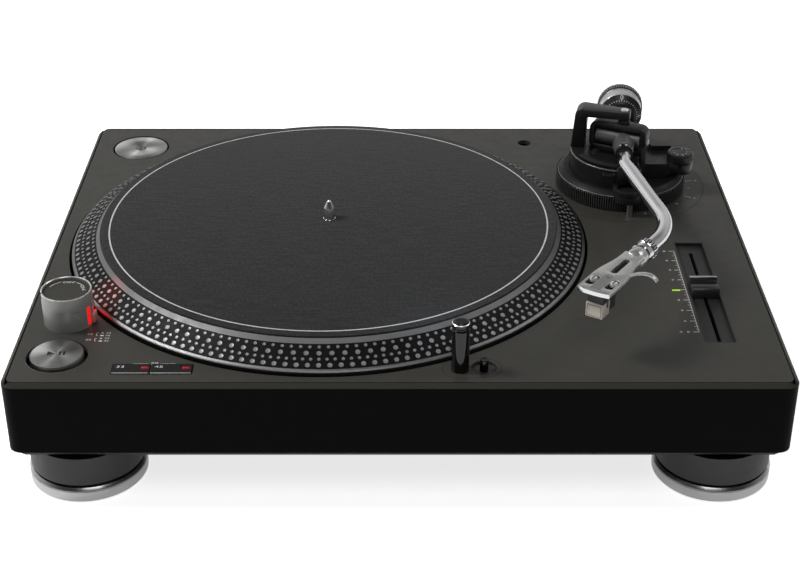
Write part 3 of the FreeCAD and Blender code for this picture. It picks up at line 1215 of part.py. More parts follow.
def cartridge():
    """The pickup cartridge with its mounting ears, cantilever and stylus tip."""
    piece = Piece("cartridge", HEAD)
    ear_top = S.shell_top - S.shell_t
    half = S.cart_half
    piece.pad(ear_top - S.cart_ear_t, ear_top, rectangle(S.cart_back, -S.cart_ear_half,
                                                         S.cart_front - S.cart_ear_short,
                                                         S.cart_ear_half))
    piece.pad(S.cart_top, ear_top - S.cart_ear_t,
              rectangle(S.cart_back, -half, S.cart_front - S.cart_neck_short, half))
    piece.pad(S.cart_bottom, S.cart_top, rectangle(S.cart_back, -half, S.cart_front, half))
    piece.pocket(ear_top - S.cart_ear_t, ear_top, *[circle(S.screw_x, sign * S.screw_pitch / 2,
                                                           S.cart_screw_r + S.fit)
                                                    for sign in (-1, 1)])
    tip, half = S.stylus_tip, S.stylus_r
    piece.pad_y(-half, half, outline([
        (S.cantilever_x, S.cart_bottom + S.overcut), (S.cantilever_x, S.cart_bottom - S.fine_edge),
        (S.stylus_x - half, tip + S.fine_edge), (S.stylus_x, tip), (S.stylus_x + half, tip + S.fine_edge),
        (S.stylus_x + half, S.cart_bottom + S.overcut)]))


def cartridge_screws():
    """Two screws that hold the cartridge to the headshell."""
    top = S.shell_top
    low = top - S.shell_t - S.cart_ear_t
    screws = []
    for sign in (-1, 1):
        y = sign * S.screw_pitch / 2
        screws.append(fuse(cylinder(S.cart_head_r, top, top + S.cart_head_t, S.screw_x, y),
                           cylinder(S.cart_screw_r, low, top + S.cart_head_t, S.screw_x, y)))
    finish(group(*screws), "cartridge_screws", HEAD)


def weight_sleeve():
    """The inner bush that travels along the shaft's thread."""
    piece = Piece("weight_sleeve", ARM)
    bore = S.shaft_r + S.fit
    piece.turned_x([(-S.sleeve_end, bore), (-S.sleeve_end, S.sleeve_r), (-S.sleeve_start, S.sleeve_r),
                    (-S.sleeve_start, bore)])


def counterweight():
    """The counterweight, which turns on its bush."""
    bore = S.sleeve_r + S.fit
    piece = Piece("counterweight", ARM)
    piece.turned_x([(-S.weight_end, bore), (-S.weight_end, S.weight_rim_r - S.fine_edge),
                    (-S.weight_end + S.fine_edge, S.weight_rim_r), (-S.weight_step, S.weight_rim_r),
                    (-S.weight_step, S.weight_r), (-S.weight_start - S.fine_edge, S.weight_r),
                    (-S.weight_start, S.weight_r - S.fine_edge), (-S.weight_start, bore)])


def force_dial():
    """The tracking-force dial in front of the counterweight."""
    bore = S.sleeve_r + S.fit
    piece = Piece("force_dial", ARM)
    piece.turned_x([(-S.dial_end, bore), (-S.dial_end, S.dial_large_r), (-S.dial_start, S.dial_small_r),
                    (-S.dial_start, bore)])


# Feet

def foot_housings():
    """Four housings under the base pan, each with the nut that its foot turns in."""
    frames = corners(FOOT_X, FOOT_Y)
    bore = S.foot_sleeve_r + S.foot_bore_margin
    housings = []
    for x, y in frames:
        drum = cylinder(S.housing_r, S.housing_low, S.pan_lift, x, y)
        hollow = cylinder(bore, S.housing_low, S.housing_web, x, y)
        nut = cylinder(S.foot_nut_r, S.foot_nut_low, S.housing_web, x, y)
        hole = cylinder(S.foot_stud_r + S.fit, S.foot_nut_low, S.pan_lift, x, y)
        housings.append(cut(fuse(cut(drum, hollow), nut), hole))
    finish(group(*housings), "foot_housings", TABLE)


def foot(number, x, y):
    """One foot: a pad with its sleeve and stud, and the chrome ring that turns on it."""
    frame = TABLE.at(x, y, 0)
    sleeve_in = S.foot_sleeve_r - S.foot_sleeve_wall
    pad = Piece(f"foot_pad_{number}", frame)
    pad.turned([(0, 0), (S.foot_pad_r, 0), (S.foot_pad_r, S.foot_pad_t), (S.foot_flange_r, S.foot_pad_t),
                (S.foot_flange_r, S.foot_flange_top), (S.foot_sleeve_r, S.foot_flange_top),
                (S.foot_sleeve_r, S.foot_sleeve_top), (sleeve_in, S.foot_sleeve_top),
                (sleeve_in, S.foot_flange_top), (S.foot_stud_r, S.foot_flange_top),
                (S.foot_stud_r, S.foot_stud_top), (0, S.foot_stud_top)])
    ring = Piece(f"foot_ring_{number}", frame)
    low, top = S.foot_ring_low, S.foot_ring_top
    step = S.foot_flange_top + S.gap
    ring.turned([(S.foot_flange_r + S.gap, low), (S.foot_ring_r, low), (S.foot_ring_r, top - S.foot_bevel),
                 (S.foot_ring_r - S.foot_bevel, top), (S.foot_sleeve_r + S.gap, top),
                 (S.foot_sleeve_r + S.gap, step), (S.foot_flange_r + S.gap, step)])


# Electronics and the rear

def main_board():
    """The control board under the keys, with switches, chips and connectors."""
    low = WALL_LOW + S.board_z
    top = low + S.board_t
    piece = Piece("main_board", DECK)
    piece.pad(low, top, rectangle(BOARD_LEFT, BOARD_FRONT, BOARD_RIGHT, BOARD_BACK))
    chips = [(BOARD_LEFT + S.chip_w / 2 + S.chip_pitch * n, BOARD_BACK - S.chip_w) for n in range(3)]
    piece.pad(top, top + S.chip_h, *[rectangle(x, y, x + S.chip_w, y + S.chip_w / 2) for x, y in chips])
    stem_low = S.key_rise - S.key_t - S.key_stem - S.key_gap * 3
    piece.pad(top, stem_low, *[circle(x, y, S.switch_r) for x, y in key_stems()])
    piece.pad(top, -S.lamp_drop, *[lamp_shape(x) for x in (LAMP_33_X, LAMP_45_X)])


def power_supply():
    """The shielded power supply at the rear left."""
    low = WALL_LOW + S.supply_z
    piece = Piece("power_supply", DECK)
    piece.pad(low, low + S.supply_h, rectangle(SUPPLY_LEFT, SUPPLY_FRONT, SUPPLY_RIGHT, SUPPLY_BACK))
    piece.round(S.supply_round, upright)


def terminal_plate():
    """The plate for the signal jacks, behind an opening of the rear wall."""
    back = HALF_D - S.wall
    piece = Piece("terminal_plate", DECK)
    piece.pad_y(back - S.plate_t, back, rectangle(S.plate_left, WALL_LOW + S.plate_low,
                                                  S.plate_right, WALL_LOW + S.plate_high))
    height = WALL_LOW + S.jack_z
    piece.pocket_y(back - S.plate_t, back, *[circle(x, height, S.jack_r + S.fit) for x in jack_places()],
                   circle(S.ground_x, height, S.ground_r + S.fit))


def jack_places():
    return [S.jack_x, S.jack_x + S.jack_pitch]


def rca_jacks():
    """The two signal jacks, each a sleeve with its insulated core."""
    back = HALF_D - S.wall
    height = WALL_LOW + S.jack_z
    jacks = []
    for x in jack_places():
        sleeve = cylinder(S.jack_r, back - S.jack_in, back + S.wall - S.gap, x, height, "y")
        bore = cylinder(S.jack_pin_r, back, back + S.wall, x, height, "y")
        jacks.append(cut(sleeve, bore))
    finish(group(*jacks), "rca_jacks", DECK)


def ground_post():
    """The earth terminal with its thumb cap."""
    back = HALF_D - S.wall
    height = WALL_LOW + S.jack_z
    stud = cylinder(S.ground_r, back - S.jack_in, back + S.wall - S.gap, S.ground_x, height, "y")
    cap = cylinder(S.ground_cap_r, back + S.wall - S.gap - S.ground_cap_t, back + S.wall - S.gap,
                   S.ground_x, height, "y")
    finish(fuse(stud, cap), "ground_post", DECK)


def ac_inlet():
    """The power inlet: an open box with three blades."""
    back = HALF_D
    half_w, half_h = S.inlet_w / 2, S.inlet_h / 2
    height = WALL_LOW + S.inlet_z
    wall = S.inlet_wall
    piece = Piece("ac_inlet", DECK)
    piece.pad_y(back - S.inlet_d, back, rectangle(S.inlet_x - half_w, height - half_h,
                                                  S.inlet_x + half_w, height + half_h))
    piece.pocket_y(back - S.inlet_d + wall, back,
                   rectangle(S.inlet_x - half_w + wall, height - half_h + wall,
                             S.inlet_x + half_w - wall, height + half_h - wall))
    pins = [(S.inlet_x - half_w / 2, height), (S.inlet_x, height + wall),
            (S.inlet_x + half_w / 2, height)]
    piece.pad_y(back - S.inlet_d + wall, back - S.inlet_d + wall + S.inlet_blade, *[
        rectangle(x - S.inlet_pin / 2, z - S.inlet_pin, x + S.inlet_pin / 2,
                  z + S.inlet_pin) for x, z in pins])


def build():
    plinth_frame()
    top_panel()
    damping_base()
    base_screws()
    platter()
    slip_mat()
    rotor_magnet()
    spindle()
    stator_board()
    bearing_housing()
    start_stop_button()
    speed_key("33", LAMP_33_X)
    speed_key("45", LAMP_45_X)
    indicator_lenses()
    tower_base()
    strobe_window()
    power_dial()
    dial_face()
    adapter_45()
    target_light()
    light_button()
    control_bezel()
    fader_mechanism()
    fader_knob()
    arm_mount_plate()
    height_ring()
    arm_base()
    lifter_bracket()
    guide_post()
    antiskate_bracket()
    antiskate_dial()
    cue_lever()
    lifter_bar()
    rest_clip()
    yoke()
    gimbal_ring()
    pivot_block()
    arm_tube()
    locking_nut()
    headshell()
    cartridge()
    cartridge_screws()
    weight_sleeve()
    counterweight()
    force_dial()
    foot_housings()
    for number, (x, y) in enumerate(corners(FOOT_X, FOOT_Y), 1):
        foot(number, x, y)
    main_board()
    power_supply()
    terminal_plate()
    rca_jacks()
    ground_post()
    ac_inlet()


def check():
    """Stop before anything is written if a feature failed or a solid is wrong."""
    doc.recompute()
    failed = [f"{thing.Label}: {thing.State}" for thing in doc.Objects
              if "Invalid" in thing.State or "Error" in thing.State]
    for node in nodes:
        if node.Shape.isNull() or not node.Shape.isValid() or not node.Shape.Solids:
            failed.append(f"{node.Label}: bad shape")
    if failed:
        raise RuntimeError("; ".join(failed))


def write():
    os.makedirs("parts", exist_ok=True)
    for node in nodes:
        node.Shape.exportStep(f"parts/{node.Label}.step")
        print(f"{node.Label}: {len(node.Shape.Solids)} solid(s), {node.Shape.Volume / 1000:.1f} cm3")


build()
check()
write()
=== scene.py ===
"""Looks of a direct-drive turntable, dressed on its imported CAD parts.

Lengths are in millimetres until a piece is finished, and heights count from the deck, the top
face of the cabinet. X runs to the right along the front, Y to the back and Z up.
"""

import logging
import math
from dataclasses import dataclass, replace
from enum import Enum
from typing import Callable, Iterable, Mapping, Sequence

import bmesh
import bpy
from mathutils import Matrix, Vector


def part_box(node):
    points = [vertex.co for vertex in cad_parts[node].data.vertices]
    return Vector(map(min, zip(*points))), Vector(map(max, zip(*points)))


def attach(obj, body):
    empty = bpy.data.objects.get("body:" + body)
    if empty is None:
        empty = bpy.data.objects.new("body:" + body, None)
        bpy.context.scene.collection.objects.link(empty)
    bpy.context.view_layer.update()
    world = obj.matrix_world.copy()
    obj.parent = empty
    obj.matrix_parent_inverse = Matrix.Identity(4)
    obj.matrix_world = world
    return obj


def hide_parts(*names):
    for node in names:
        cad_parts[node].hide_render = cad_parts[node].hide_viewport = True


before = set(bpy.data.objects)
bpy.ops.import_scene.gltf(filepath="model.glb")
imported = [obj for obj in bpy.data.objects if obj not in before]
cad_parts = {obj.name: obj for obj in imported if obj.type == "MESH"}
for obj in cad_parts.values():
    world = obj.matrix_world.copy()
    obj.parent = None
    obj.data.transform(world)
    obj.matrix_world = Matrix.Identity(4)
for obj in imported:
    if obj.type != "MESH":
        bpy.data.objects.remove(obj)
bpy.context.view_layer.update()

logging.basicConfig(level=logging.INFO, format="%(message)s")
log = logging.getLogger("turntable")

MM = 0.001
# A printed mark lies this far over its surface, so that the two never flicker
PRINT_LIFT = 0.06
# The map that a turned piece carries, for the direction of its fine grooves
SPIN_MAP = "spin"

Point = tuple[float, float]
Test = Callable[[Vector], bool]
Tree = bpy.types.NodeTree
Node = bpy.types.Node
Socket = bpy.types.NodeSocket


# Places taken from the frame

@dataclass(frozen=True)
class Room:
    """The space that one CAD node takes up, in millimetres."""

    low: Vector
    high: Vector

    @property
    def centre(self) -> Vector:
        """The middle of the space."""
        return (self.low + self.high) / 2

def room(node: str) -> Room:
    """Finds the space of a CAD node.

    Args:
        node: The node's name.

    Returns:
        Its room, in millimetres.
    """
    low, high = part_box(node)
    return Room(low / MM, high / MM)


DECK = room("top_panel").high.z


def turn(degrees: float, axis: str = "Z") -> Matrix:
    """A turn about an axis through the origin."""
    return Matrix.Rotation(math.radians(degrees), 4, axis)


def at(x: float, y: float, z: float, *turns: tuple[str, float]) -> Matrix:
    """Makes a place on the deck, turned about its own axes in order.

    Args:
        x: Millimetres to the right of the cabinet's middle.
        y: Millimetres behind the cabinet's middle.
        z: Millimetres above the deck.
        turns: Pairs of an axis letter and degrees.

    Returns:
        The place as a matrix in millimetres.
    """
    matrix = Matrix.Translation((x, y, z + DECK))
    for axis, degrees in turns:
        matrix = matrix @ turn(degrees, axis)
    return matrix


def step(x: float, y: float, z: float, *turns: tuple[str, float]) -> Matrix:
    """Makes a step inside another place, in the same way as at() does on the deck."""
    return at(x, y, z - DECK, *turns)


# Tests of a face or an edge by the place of its middle

def off_axis(spot: Vector) -> float:
    """The distance of a point from the upright axis."""
    return math.hypot(spot.x, spot.y)


def everywhere(spot: Vector) -> bool:
    """Passes all of a shape."""
    return True


# Shapes, made with mesh operators in millimetres

def ring(radius: float, steps: int = 48, x: float = 0.0, y: float = 0.0,
         start: float = 0.0, stop: float = 360.0) -> list[Point]:
    """Lists points on a circle or on an arc of it.

    Args:
        radius: The circle's radius.
        steps: Straight pieces along it.
        x: Its middle's x.
        y: Its middle's y.
        start: Where it starts, in degrees from the x axis.
        stop: Where it stops.

    Returns:
        The points in order, without a double one where it closes.
    """
    full = abs(stop - start) >= 360
    count = steps if full else steps + 1
    angles = [math.radians(start + (stop - start) * n / steps) for n in range(count)]
    return [(x + radius * math.cos(a), y + radius * math.sin(a)) for a in angles]


def band(outer: float, inner: float, start: float, stop: float, steps: int = 12,
         x: float = 0.0, y: float = 0.0) -> list[Point]:
    """Outlines a curved band between two radii."""
    return ring(outer, steps, x, y, start, stop) + ring(inner, steps, x, y, stop, start)


def rectangle(left: float, front: float, right: float, back: float) -> list[Point]:
    """Lists the four corners of a rectangle, anticlockwise."""
    return [(left, front), (right, front), (right, back), (left, back)]


def rounded(corners: Sequence[Point], radius: float, steps: int = 5) -> list[Point]:
    """Rounds the corners of an outline with arcs.

    Args:
        corners: The outline's corners in order.
        radius: The arcs' radius.
        steps: Straight pieces in each arc.

    Returns:
        The outline with its corners rounded.
    """
    points: list[Point] = []
    for index, corner in enumerate(corners):
        here = Vector(corner)
        back = (Vector(corners[index - 1]) - here).normalized()
        ahead = (Vector(corners[(index + 1) % len(corners)]) - here).normalized()
        half = back.angle(ahead) / 2
        middle = here + (back + ahead).normalized() * (radius / math.sin(half))
        start = here + back * (radius / math.tan(half)) - middle
        stop = here + ahead * (radius / math.tan(half)) - middle
        sweep = start.angle_signed(stop)
        for n in range(steps + 1):
            turned = start.copy()
            turned.rotate(Matrix.Rotation(-sweep * n / steps, 2))
            points.append(tuple(middle + turned))
    return points


class Shape:
    """A mesh under the tools, in millimetres and in its own place."""

    def __init__(self) -> None:
        """Starts with nothing in the vice."""
        self.bm = bmesh.new()

    def lathe(self, profile: Sequence[Point], steps: int = 96) -> "Shape":
        """Turns a closed profile about the upright axis.

        Args:
            profile: Points of radius and height in order round the section.
            steps: Faces round the axis.

        Returns:
            The shape.
        """
        verts = [self.bm.verts.new((radius, 0, height)) for radius, height in profile]
        edges = [self.bm.edges.new((verts[n - 1], verts[n])) for n in range(len(verts))]
        bmesh.ops.spin(self.bm, geom=verts + edges, cent=(0, 0, 0), axis=(0, 0, 1), angle=math.tau,
                       steps=steps, use_merge=True, use_normal_flip=False, use_duplicate=False)
        return self.heal()

    def slab(self, outline: Sequence[Point], low: float, high: float,
             holes: Iterable[Sequence[Point]] = ()) -> "Shape":
        """Raises a flat outline, with holes, between two heights.

        Args:
            outline: Points round the outside.
            low: Height of the underside.
            high: Height of the top.
            holes: Points round each hole.

        Returns:
            The shape.
        """
        made = bmesh.new()
        for loop in (outline, *holes):
            verts = [made.verts.new((x, y, low)) for x, y in loop]
            for n in range(len(verts)):
                made.edges.new((verts[n - 1], verts[n]))
        bmesh.ops.triangle_fill(made, use_beauty=True, use_dissolve=True, edges=made.edges[:])
        if high > low:
            raised = bmesh.ops.extrude_face_region(made, geom=made.faces[:])
            top = [v for v in raised["geom"] if isinstance(v, bmesh.types.BMVert)]
            bmesh.ops.translate(made, verts=top, vec=(0, 0, high - low))
            bmesh.ops.recalc_face_normals(made, faces=made.faces[:])
        else:
            down = [f for f in made.faces if f.normal.z < 0]
            bmesh.ops.reverse_faces(made, faces=down)
        return self.take(made)

    def block(self, left: float, front: float, low: float,
              right: float, back: float, high: float) -> "Shape":
        """Adds a block between two opposite corners.

        Args:
            left: The first corner's x.
            front: Its y.
            low: Its height.
            right: The second corner's x.
            back: Its y.
            high: Its height.

        Returns:
            The shape.
        """
        made = bmesh.new()
        size = Matrix.Diagonal((right - left, back - front, high - low, 1))
        core = Matrix.Translation(((left + right) / 2, (front + back) / 2, (low + high) / 2))
        bmesh.ops.create_cube(made, size=1, matrix=core @ size)
        return self.take(made)

    def dot(self, radius: float, x: float, y: float, z: float, steps: int = 16) -> "Shape":
        """Adds a flat printed dot.

        Args:
            radius: The dot's radius.
            x: Its middle's x.
            y: Its middle's y.
            z: Its height.
            steps: Straight pieces round it.

        Returns:
            The shape.
        """
        made = bmesh.new()
        bmesh.ops.create_circle(made, cap_ends=True, segments=steps, radius=radius,
                                matrix=Matrix.Translation((x, y, z)))
        return self.take(made)

    def stroke(self, start: Point, stop: Point, width: float, z: float) -> "Shape":
        """Adds a flat printed line.

        Args:
            start: Where it starts.
            stop: Where it ends.
            width: Its width.
            z: Its height.

        Returns:
            The shape.
        """
        a, b = Vector(start), Vector(stop)
        side = (b - a).orthogonal().normalized() * width / 2
        return self.slab([tuple(a + side), tuple(a - side), tuple(b - side), tuple(b + side)], z, z)

    def arc(self, radius: float, width: float, z: float, x: float = 0.0, y: float = 0.0,
            start: float = 0.0, stop: float = 360.0, steps: int = 64) -> "Shape":
        """Adds a flat printed arc or a whole ring.

        Args:
            radius: The radius of the line's middle.
            width: The line's width.
            z: Its height.
            x: The x of the arc's middle.
            y: The y of the arc's middle.
            start: Where it starts, in degrees.
            stop: Where it stops.
            steps: Straight pieces along it.

        Returns:
            The shape.
        """
        outer, inner = radius + width / 2, radius - width / 2
        if stop - start >= 360:
            return self.slab(ring(outer, steps, x, y), z, z, [ring(inner, steps, x, y)])
        return self.slab(band(outer, inner, start, stop, steps, x, y), z, z)

    def words(self, text: str, height: float, place: Matrix, wide: float = 1.0) -> "Shape":
        """Adds flat printed characters.

        Args:
            text: What is printed.
            height: The height of a capital.
            place: The middle of the text, which reads along x.
            wide: How far the characters are stretched along x.

        Returns:
            The shape.
        """
        curve = bpy.data.curves.new("print", "FONT")
        curve.body = text
        curve.size = height / 0.7
        curve.align_x = "CENTER"
        curve.align_y = "CENTER"
        carrier = bpy.data.objects.new("print", curve)
        mesh = bpy.data.meshes.new_from_object(carrier)
        made = bmesh.new()
        made.from_mesh(mesh)
        stretch = Matrix.Diagonal((wide, 1, 1, 1))
        bmesh.ops.transform(made, matrix=place @ stretch, verts=made.verts[:])
        bpy.data.objects.remove(carrier)
        bpy.data.curves.remove(curve)
        bpy.data.meshes.remove(mesh)
        return self.take(made)

    def pipe(self, radius: float, runs: Sequence[tuple[float, float]], steps: int = 40) -> "Shape":
        """Draws a round tube through straight runs and bends, from the origin along x.

        Args:
            radius: The tube's radius.
            runs: Pairs of a length and zero for a straight run, or of a bend's radius and its
                degrees to the left.
            steps: Faces round the tube.

        Returns:
            The shape.
        """
        made = bmesh.new()
        spot, heading = Vector((0, 0, 0)), 0.0
        bmesh.ops.create_circle(made, cap_ends=False, segments=steps, radius=radius,
                                matrix=Matrix.Rotation(math.pi / 2, 4, "Y"))
        rim = made.edges[:]
        for size, degrees in runs:
            ahead = Vector((math.cos(heading), math.sin(heading), 0))
            if degrees:
                bend = math.radians(degrees)
                centre = spot + Vector((-ahead.y, ahead.x, 0)) * math.copysign(size, bend)
                spun = bmesh.ops.spin(made, geom=rim, cent=centre, axis=(0, 0, 1), angle=bend,
                                      steps=max(8, int(abs(degrees) / 1.5)), use_merge=False,
                                      use_normal_flip=False, use_duplicate=False)
                rim = [e for e in spun["geom_last"] if isinstance(e, bmesh.types.BMEdge)]
                spot = centre + Matrix.Rotation(bend, 3, "Z") @ (spot - centre)
                heading += bend
            else:
                longer = bmesh.ops.extrude_edge_only(made, edges=rim)
                moved = [v for v in longer["geom"] if isinstance(v, bmesh.types.BMVert)]
                bmesh.ops.translate(made, verts=moved, vec=ahead * size)
                rim = [e for e in longer["geom"] if isinstance(e, bmesh.types.BMEdge)
                       and all(v in moved for v in e.verts)]
                spot = spot + ahead * size
        bmesh.ops.holes_fill(made, edges=made.edges[:], sides=0)
        bmesh.ops.recalc_face_normals(made, faces=made.faces[:])
        return self.take(made)

    def repeat(self, count: int, degrees: float = 360.0) -> "Shape":
        """Copies the shape round the upright axis.

        Args:
            count: How many there are in the end.
            degrees: The turn that they share.

        Returns:
            The shape.
        """
        share = degrees / count if degrees >= 360 else degrees / (count - 1)
        bmesh.ops.spin(self.bm, geom=self.bm.verts[:] + self.bm.edges[:] + self.bm.faces[:],
                       cent=(0, 0, 0), axis=(0, 0, 1), angle=math.radians(share * (count - 1)),
                       steps=count - 1, use_merge=False, use_normal_flip=False, use_duplicate=True)
        return self

    def move(self, place: Matrix) -> "Shape":
        """Moves all that is made so far.

        Args:
            place: Where to.

        Returns:
            The shape.
        """
        bmesh.ops.transform(self.bm, matrix=place, verts=self.bm.verts[:])
        if place.is_negative:
            bmesh.ops.reverse_faces(self.bm, faces=self.bm.faces[:])
        return self

    def soften(self, width: float, segments: int = 2, sharp: float = 25.0,
               where: Test = everywhere) -> "Shape":
        """Rounds the edges that are sharper than an angle.

        Args:
            width: How far the rounding reaches from the edge.
            segments: Faces across the rounding.
            sharp: The least angle between two faces, in degrees.
            where: A test of an edge's middle.

        Returns:
            The shape.
        """
        keen = math.radians(sharp)
        edges = [e for e in self.bm.edges if len(e.link_faces) == 2 and e.calc_face_angle(0) > keen
                 and where((e.verts[0].co + e.verts[1].co) / 2)]
        bmesh.ops.bevel(self.bm, geom=edges, offset=width, offset_type="OFFSET", segments=segments,
                        profile=0.5, affect="EDGES", clamp_overlap=True, material=-1)
        return self

    def heal(self) -> "Shape":
        """Merges doubled points and turns every face outwards.

        Returns:
            The shape.
        """
        bmesh.ops.remove_doubles(self.bm, verts=self.bm.verts[:], dist=1e-4)
        bmesh.ops.recalc_face_normals(self.bm, faces=self.bm.faces[:])
        return self

    def take(self, other: "bmesh.types.BMesh | Shape") -> "Shape":
        """Adds another shape to this one and puts the other away.

        Args:
            other: The other shape, which is empty afterwards.

        Returns:
            The shape.
        """
        made = other.bm if isinstance(other, Shape) else other
        mesh = bpy.data.meshes.new("spare")
        made.to_mesh(mesh)
        made.free()
        self.bm.from_mesh(mesh)
        bpy.data.meshes.remove(mesh)
        return self

    def paint(self, number: int, where: Test = everywhere) -> "Shape":
        """Gives faces another of the piece's finishes.

        Args:
            number: The finish, where the piece's first is 0.
            where: A test of a face's middle.

        Returns:
            The shape.
        """
        for face in self.bm.faces:
            if where(face.calc_center_median()):
                face.material_index = number
        return self

    def spin_map(self) -> "Shape":
        """Lays a map round the upright axis, so that a lathe's marks run the right way.

        Returns:
            The shape.
        """
        layer = self.bm.loops.layers.uv.new(SPIN_MAP)
        for face in self.bm.faces:
            core = face.calc_center_median()
            home = math.atan2(core.y, core.x)
            for loop in face.loops:
                spot = loop.vert.co
                # The angle is counted from the face's own, so that no face is torn where it starts anew
                angle = (math.atan2(spot.y, spot.x) - home + math.pi) % math.tau - math.pi
                loop[layer].uv = ((home + angle) / math.tau, (off_axis(spot) + spot.z) / 100)
        return self


def piece(name: str, shape: Shape, body: str, *finishes: "Finish", replaces: Sequence[str] = (),
          slot: str = "", sharp: float = 32.0) -> bpy.types.Object:
    """Finishes a shape as a piece of the turntable.

    Args:
        name: The piece's name.
        shape: Its shape, in place, in millimetres.
        body: The CAD body that it rides on.
        finishes: Its materials in the order of its painted faces.
        replaces: The CAD nodes that it stands for.
        slot: A material slot's name, which is not used.
        sharp: The angle, in degrees, above which an edge stays sharp.

    Returns:
        The piece's object.
    """
    bmesh.ops.scale(shape.bm, vec=(MM, MM, MM), verts=shape.bm.verts[:])
    mesh = bpy.data.meshes.new(name)
    shape.bm.to_mesh(mesh)
    shape.bm.free()
    mesh.shade_smooth()
    mesh.set_sharp_from_angle(angle=math.radians(sharp))
    for finish in finishes:
        mesh.materials.append(finish.material())
    made = bpy.data.objects.new(name, mesh)
    bpy.context.scene.collection.objects.link(made)
    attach(made, body)
    if replaces:
        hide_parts(*replaces)
    log.info("%s: %d faces on %s", name, len(mesh.polygons), body)
    return made


def dress(finish: "Finish", *nodes: str) -> None:
    """Gives CAD nodes a finish in every slot.

    Args:
        finish: The material.
        nodes: The nodes' names.
    """
    for node in nodes:
        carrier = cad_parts[node]
        if not carrier.material_slots:
            carrier.data.materials.append(finish.material())
        for holder in carrier.material_slots:
            holder.material = finish.material()
        log.info("%s: CAD node in %s", node, finish.name)


# How a finish is made

def linear(code: str) -> tuple[float, float, float, float]:
    """Turns an sRGB colour to the linear colour that a shader takes.

    Args:
        code: The colour in hex, such as #808080.

    Returns:
        Red, green, blue and full cover.
    """
    levels = [int(code[n:n + 2], 16) / 255 for n in (1, 3, 5)]
    flat = [v / 12.92 if v <= 0.04045 else ((v + 0.055) / 1.055) ** 2.4 for v in levels]
    return (flat[0], flat[1], flat[2], 1.0)


def add(tree: Tree, kind: str, values: Mapping | None = None, links: Mapping | None = None,
        **settings: object) -> Node:
    """Adds one node to a tree.

    Args:
        tree: The material's or world's node tree.
        kind: The node's type without its Shader prefix, such as NodeTexNoise.
        values: What its sockets hold, by name or number.
        links: The outputs that feed its sockets, by name or number.
        settings: The node's own settings.

    Returns:
        The node.
    """
    node = tree.nodes.new("Shader" + kind)
    for name, value in settings.items():
        setattr(node, name, value)
    for name, value in (values or {}).items():
        node.inputs[name].default_value = value
    for name, output in (links or {}).items():
        tree.links.new(output, node.inputs[name])
    return node


def per_mm(size: float) -> float:
    """The scale of a pattern in metres whose marks are this many millimetres apart."""
    return 1 / (size * MM)


@dataclass(frozen=True)
class Recipe:
    """A material while it is made: its tree, its shader and its coordinates in metres."""

    tree: Tree
    shader: Node
    place: Socket

    def feed(self, name: str, output: Socket) -> None:
        """Leads an output into one of the shader's sockets."""
        self.tree.links.new(output, self.shader.inputs[name])

    def source(self, name: str) -> Socket:
        """Finds the output that leads into one of the shader's sockets."""
        return self.shader.inputs[name].links[0].from_socket

    def hold(self, name: str, value: object) -> None:
        """Sets one of the shader's sockets to a value."""
        self.shader.inputs[name].default_value = value


@dataclass(frozen=True)
class Finish:
    """A surface of one colour, its grain and the small differences in its tone and gloss."""

    name: str
    colour: str
    roughness: float = 0.5
    metallic: float = 0.0
    grain_mm: float = 0.5
    grain_depth_mm: float = 0.01
    mottle: float = 0.12
    mottle_mm: float = 12.0
    gloss_change: float = 0.05
    specular: float = 0.5

    def material(self) -> bpy.types.Material:
        """Makes the material, or finds it where it was made before.

        Returns:
            The material.
        """
        made = bpy.data.materials.get(self.name)
        if made is None:
            made = bpy.data.materials.new(self.name)
            made.use_nodes = True
            tree = made.node_tree
            tree.nodes.clear()
            shader = add(tree, "NodeBsdfPrincipled", {
                "Base Color": linear(self.colour), "Roughness": self.roughness,
                "Metallic": self.metallic, "Specular IOR Level": self.specular})
            self.detail(Recipe(tree, shader, add(tree, "NodeTexCoord").outputs["Object"]))
            add(tree, "NodeOutputMaterial", links={"Surface": shader.outputs[0]})
        return made

    def detail(self, made: Recipe) -> None:
        """Lays tone, gloss and grain on the shader, each with a soft random pattern of its own.

        Args:
            made: The material.
        """
        patterns = ((self.tone, self.mottle_mm, 3.0), (self.gloss, self.mottle_mm * 0.6, 3.0),
                    (self.relief, self.grain_mm, 2.0))
        for lay, size, octaves in patterns:
            clouds = add(made.tree, "NodeTexNoise", {"Scale": per_mm(size), "Detail": octaves},
                         {"Vector": made.place})
            lay(made, clouds.outputs[0])

    def tone(self, made: Recipe, share: Socket) -> None:
        """Lets the colour vary a little either side of its own.

        Args:
            made: The material.
            share: The pattern, from 0 to 1.
        """
        base = Vector(linear(self.colour)[:3])
        ramp = add(made.tree, "NodeValToRGB", links={"Fac": share})
        ends = ((0.3, 1 - self.mottle), (0.7, 1 + self.mottle))
        for element, (position, level) in zip(ramp.color_ramp.elements, ends):
            element.position = position
            element.color = (*(base * level), 1)
        made.feed("Base Color", ramp.outputs[0])

    def gloss(self, made: Recipe, share: Socket) -> None:
        """Lets the roughness vary either side of its own, but never to a mirror.

        Args:
            made: The material.
            share: The pattern, from 0 to 1.
        """
        low = max(0.02, self.roughness - self.gloss_change)
        high = self.roughness + self.gloss_change
        spread = add(made.tree, "NodeMapRange",
                     {"From Min": 0.3, "From Max": 0.7, "To Min": low, "To Max": high}, {"Value": share})
        made.feed("Roughness", spread.outputs[0])

    def relief(self, made: Recipe, height: Socket) -> None:
        """Raises the grain.

        Args:
            made: The material.
            height: The pattern of the grain.
        """
        bump = add(made.tree, "NodeBump", {"Strength": 1.0, "Distance": self.grain_depth_mm * MM},
                   {"Height": height})
        made.feed("Normal", bump.outputs[0])


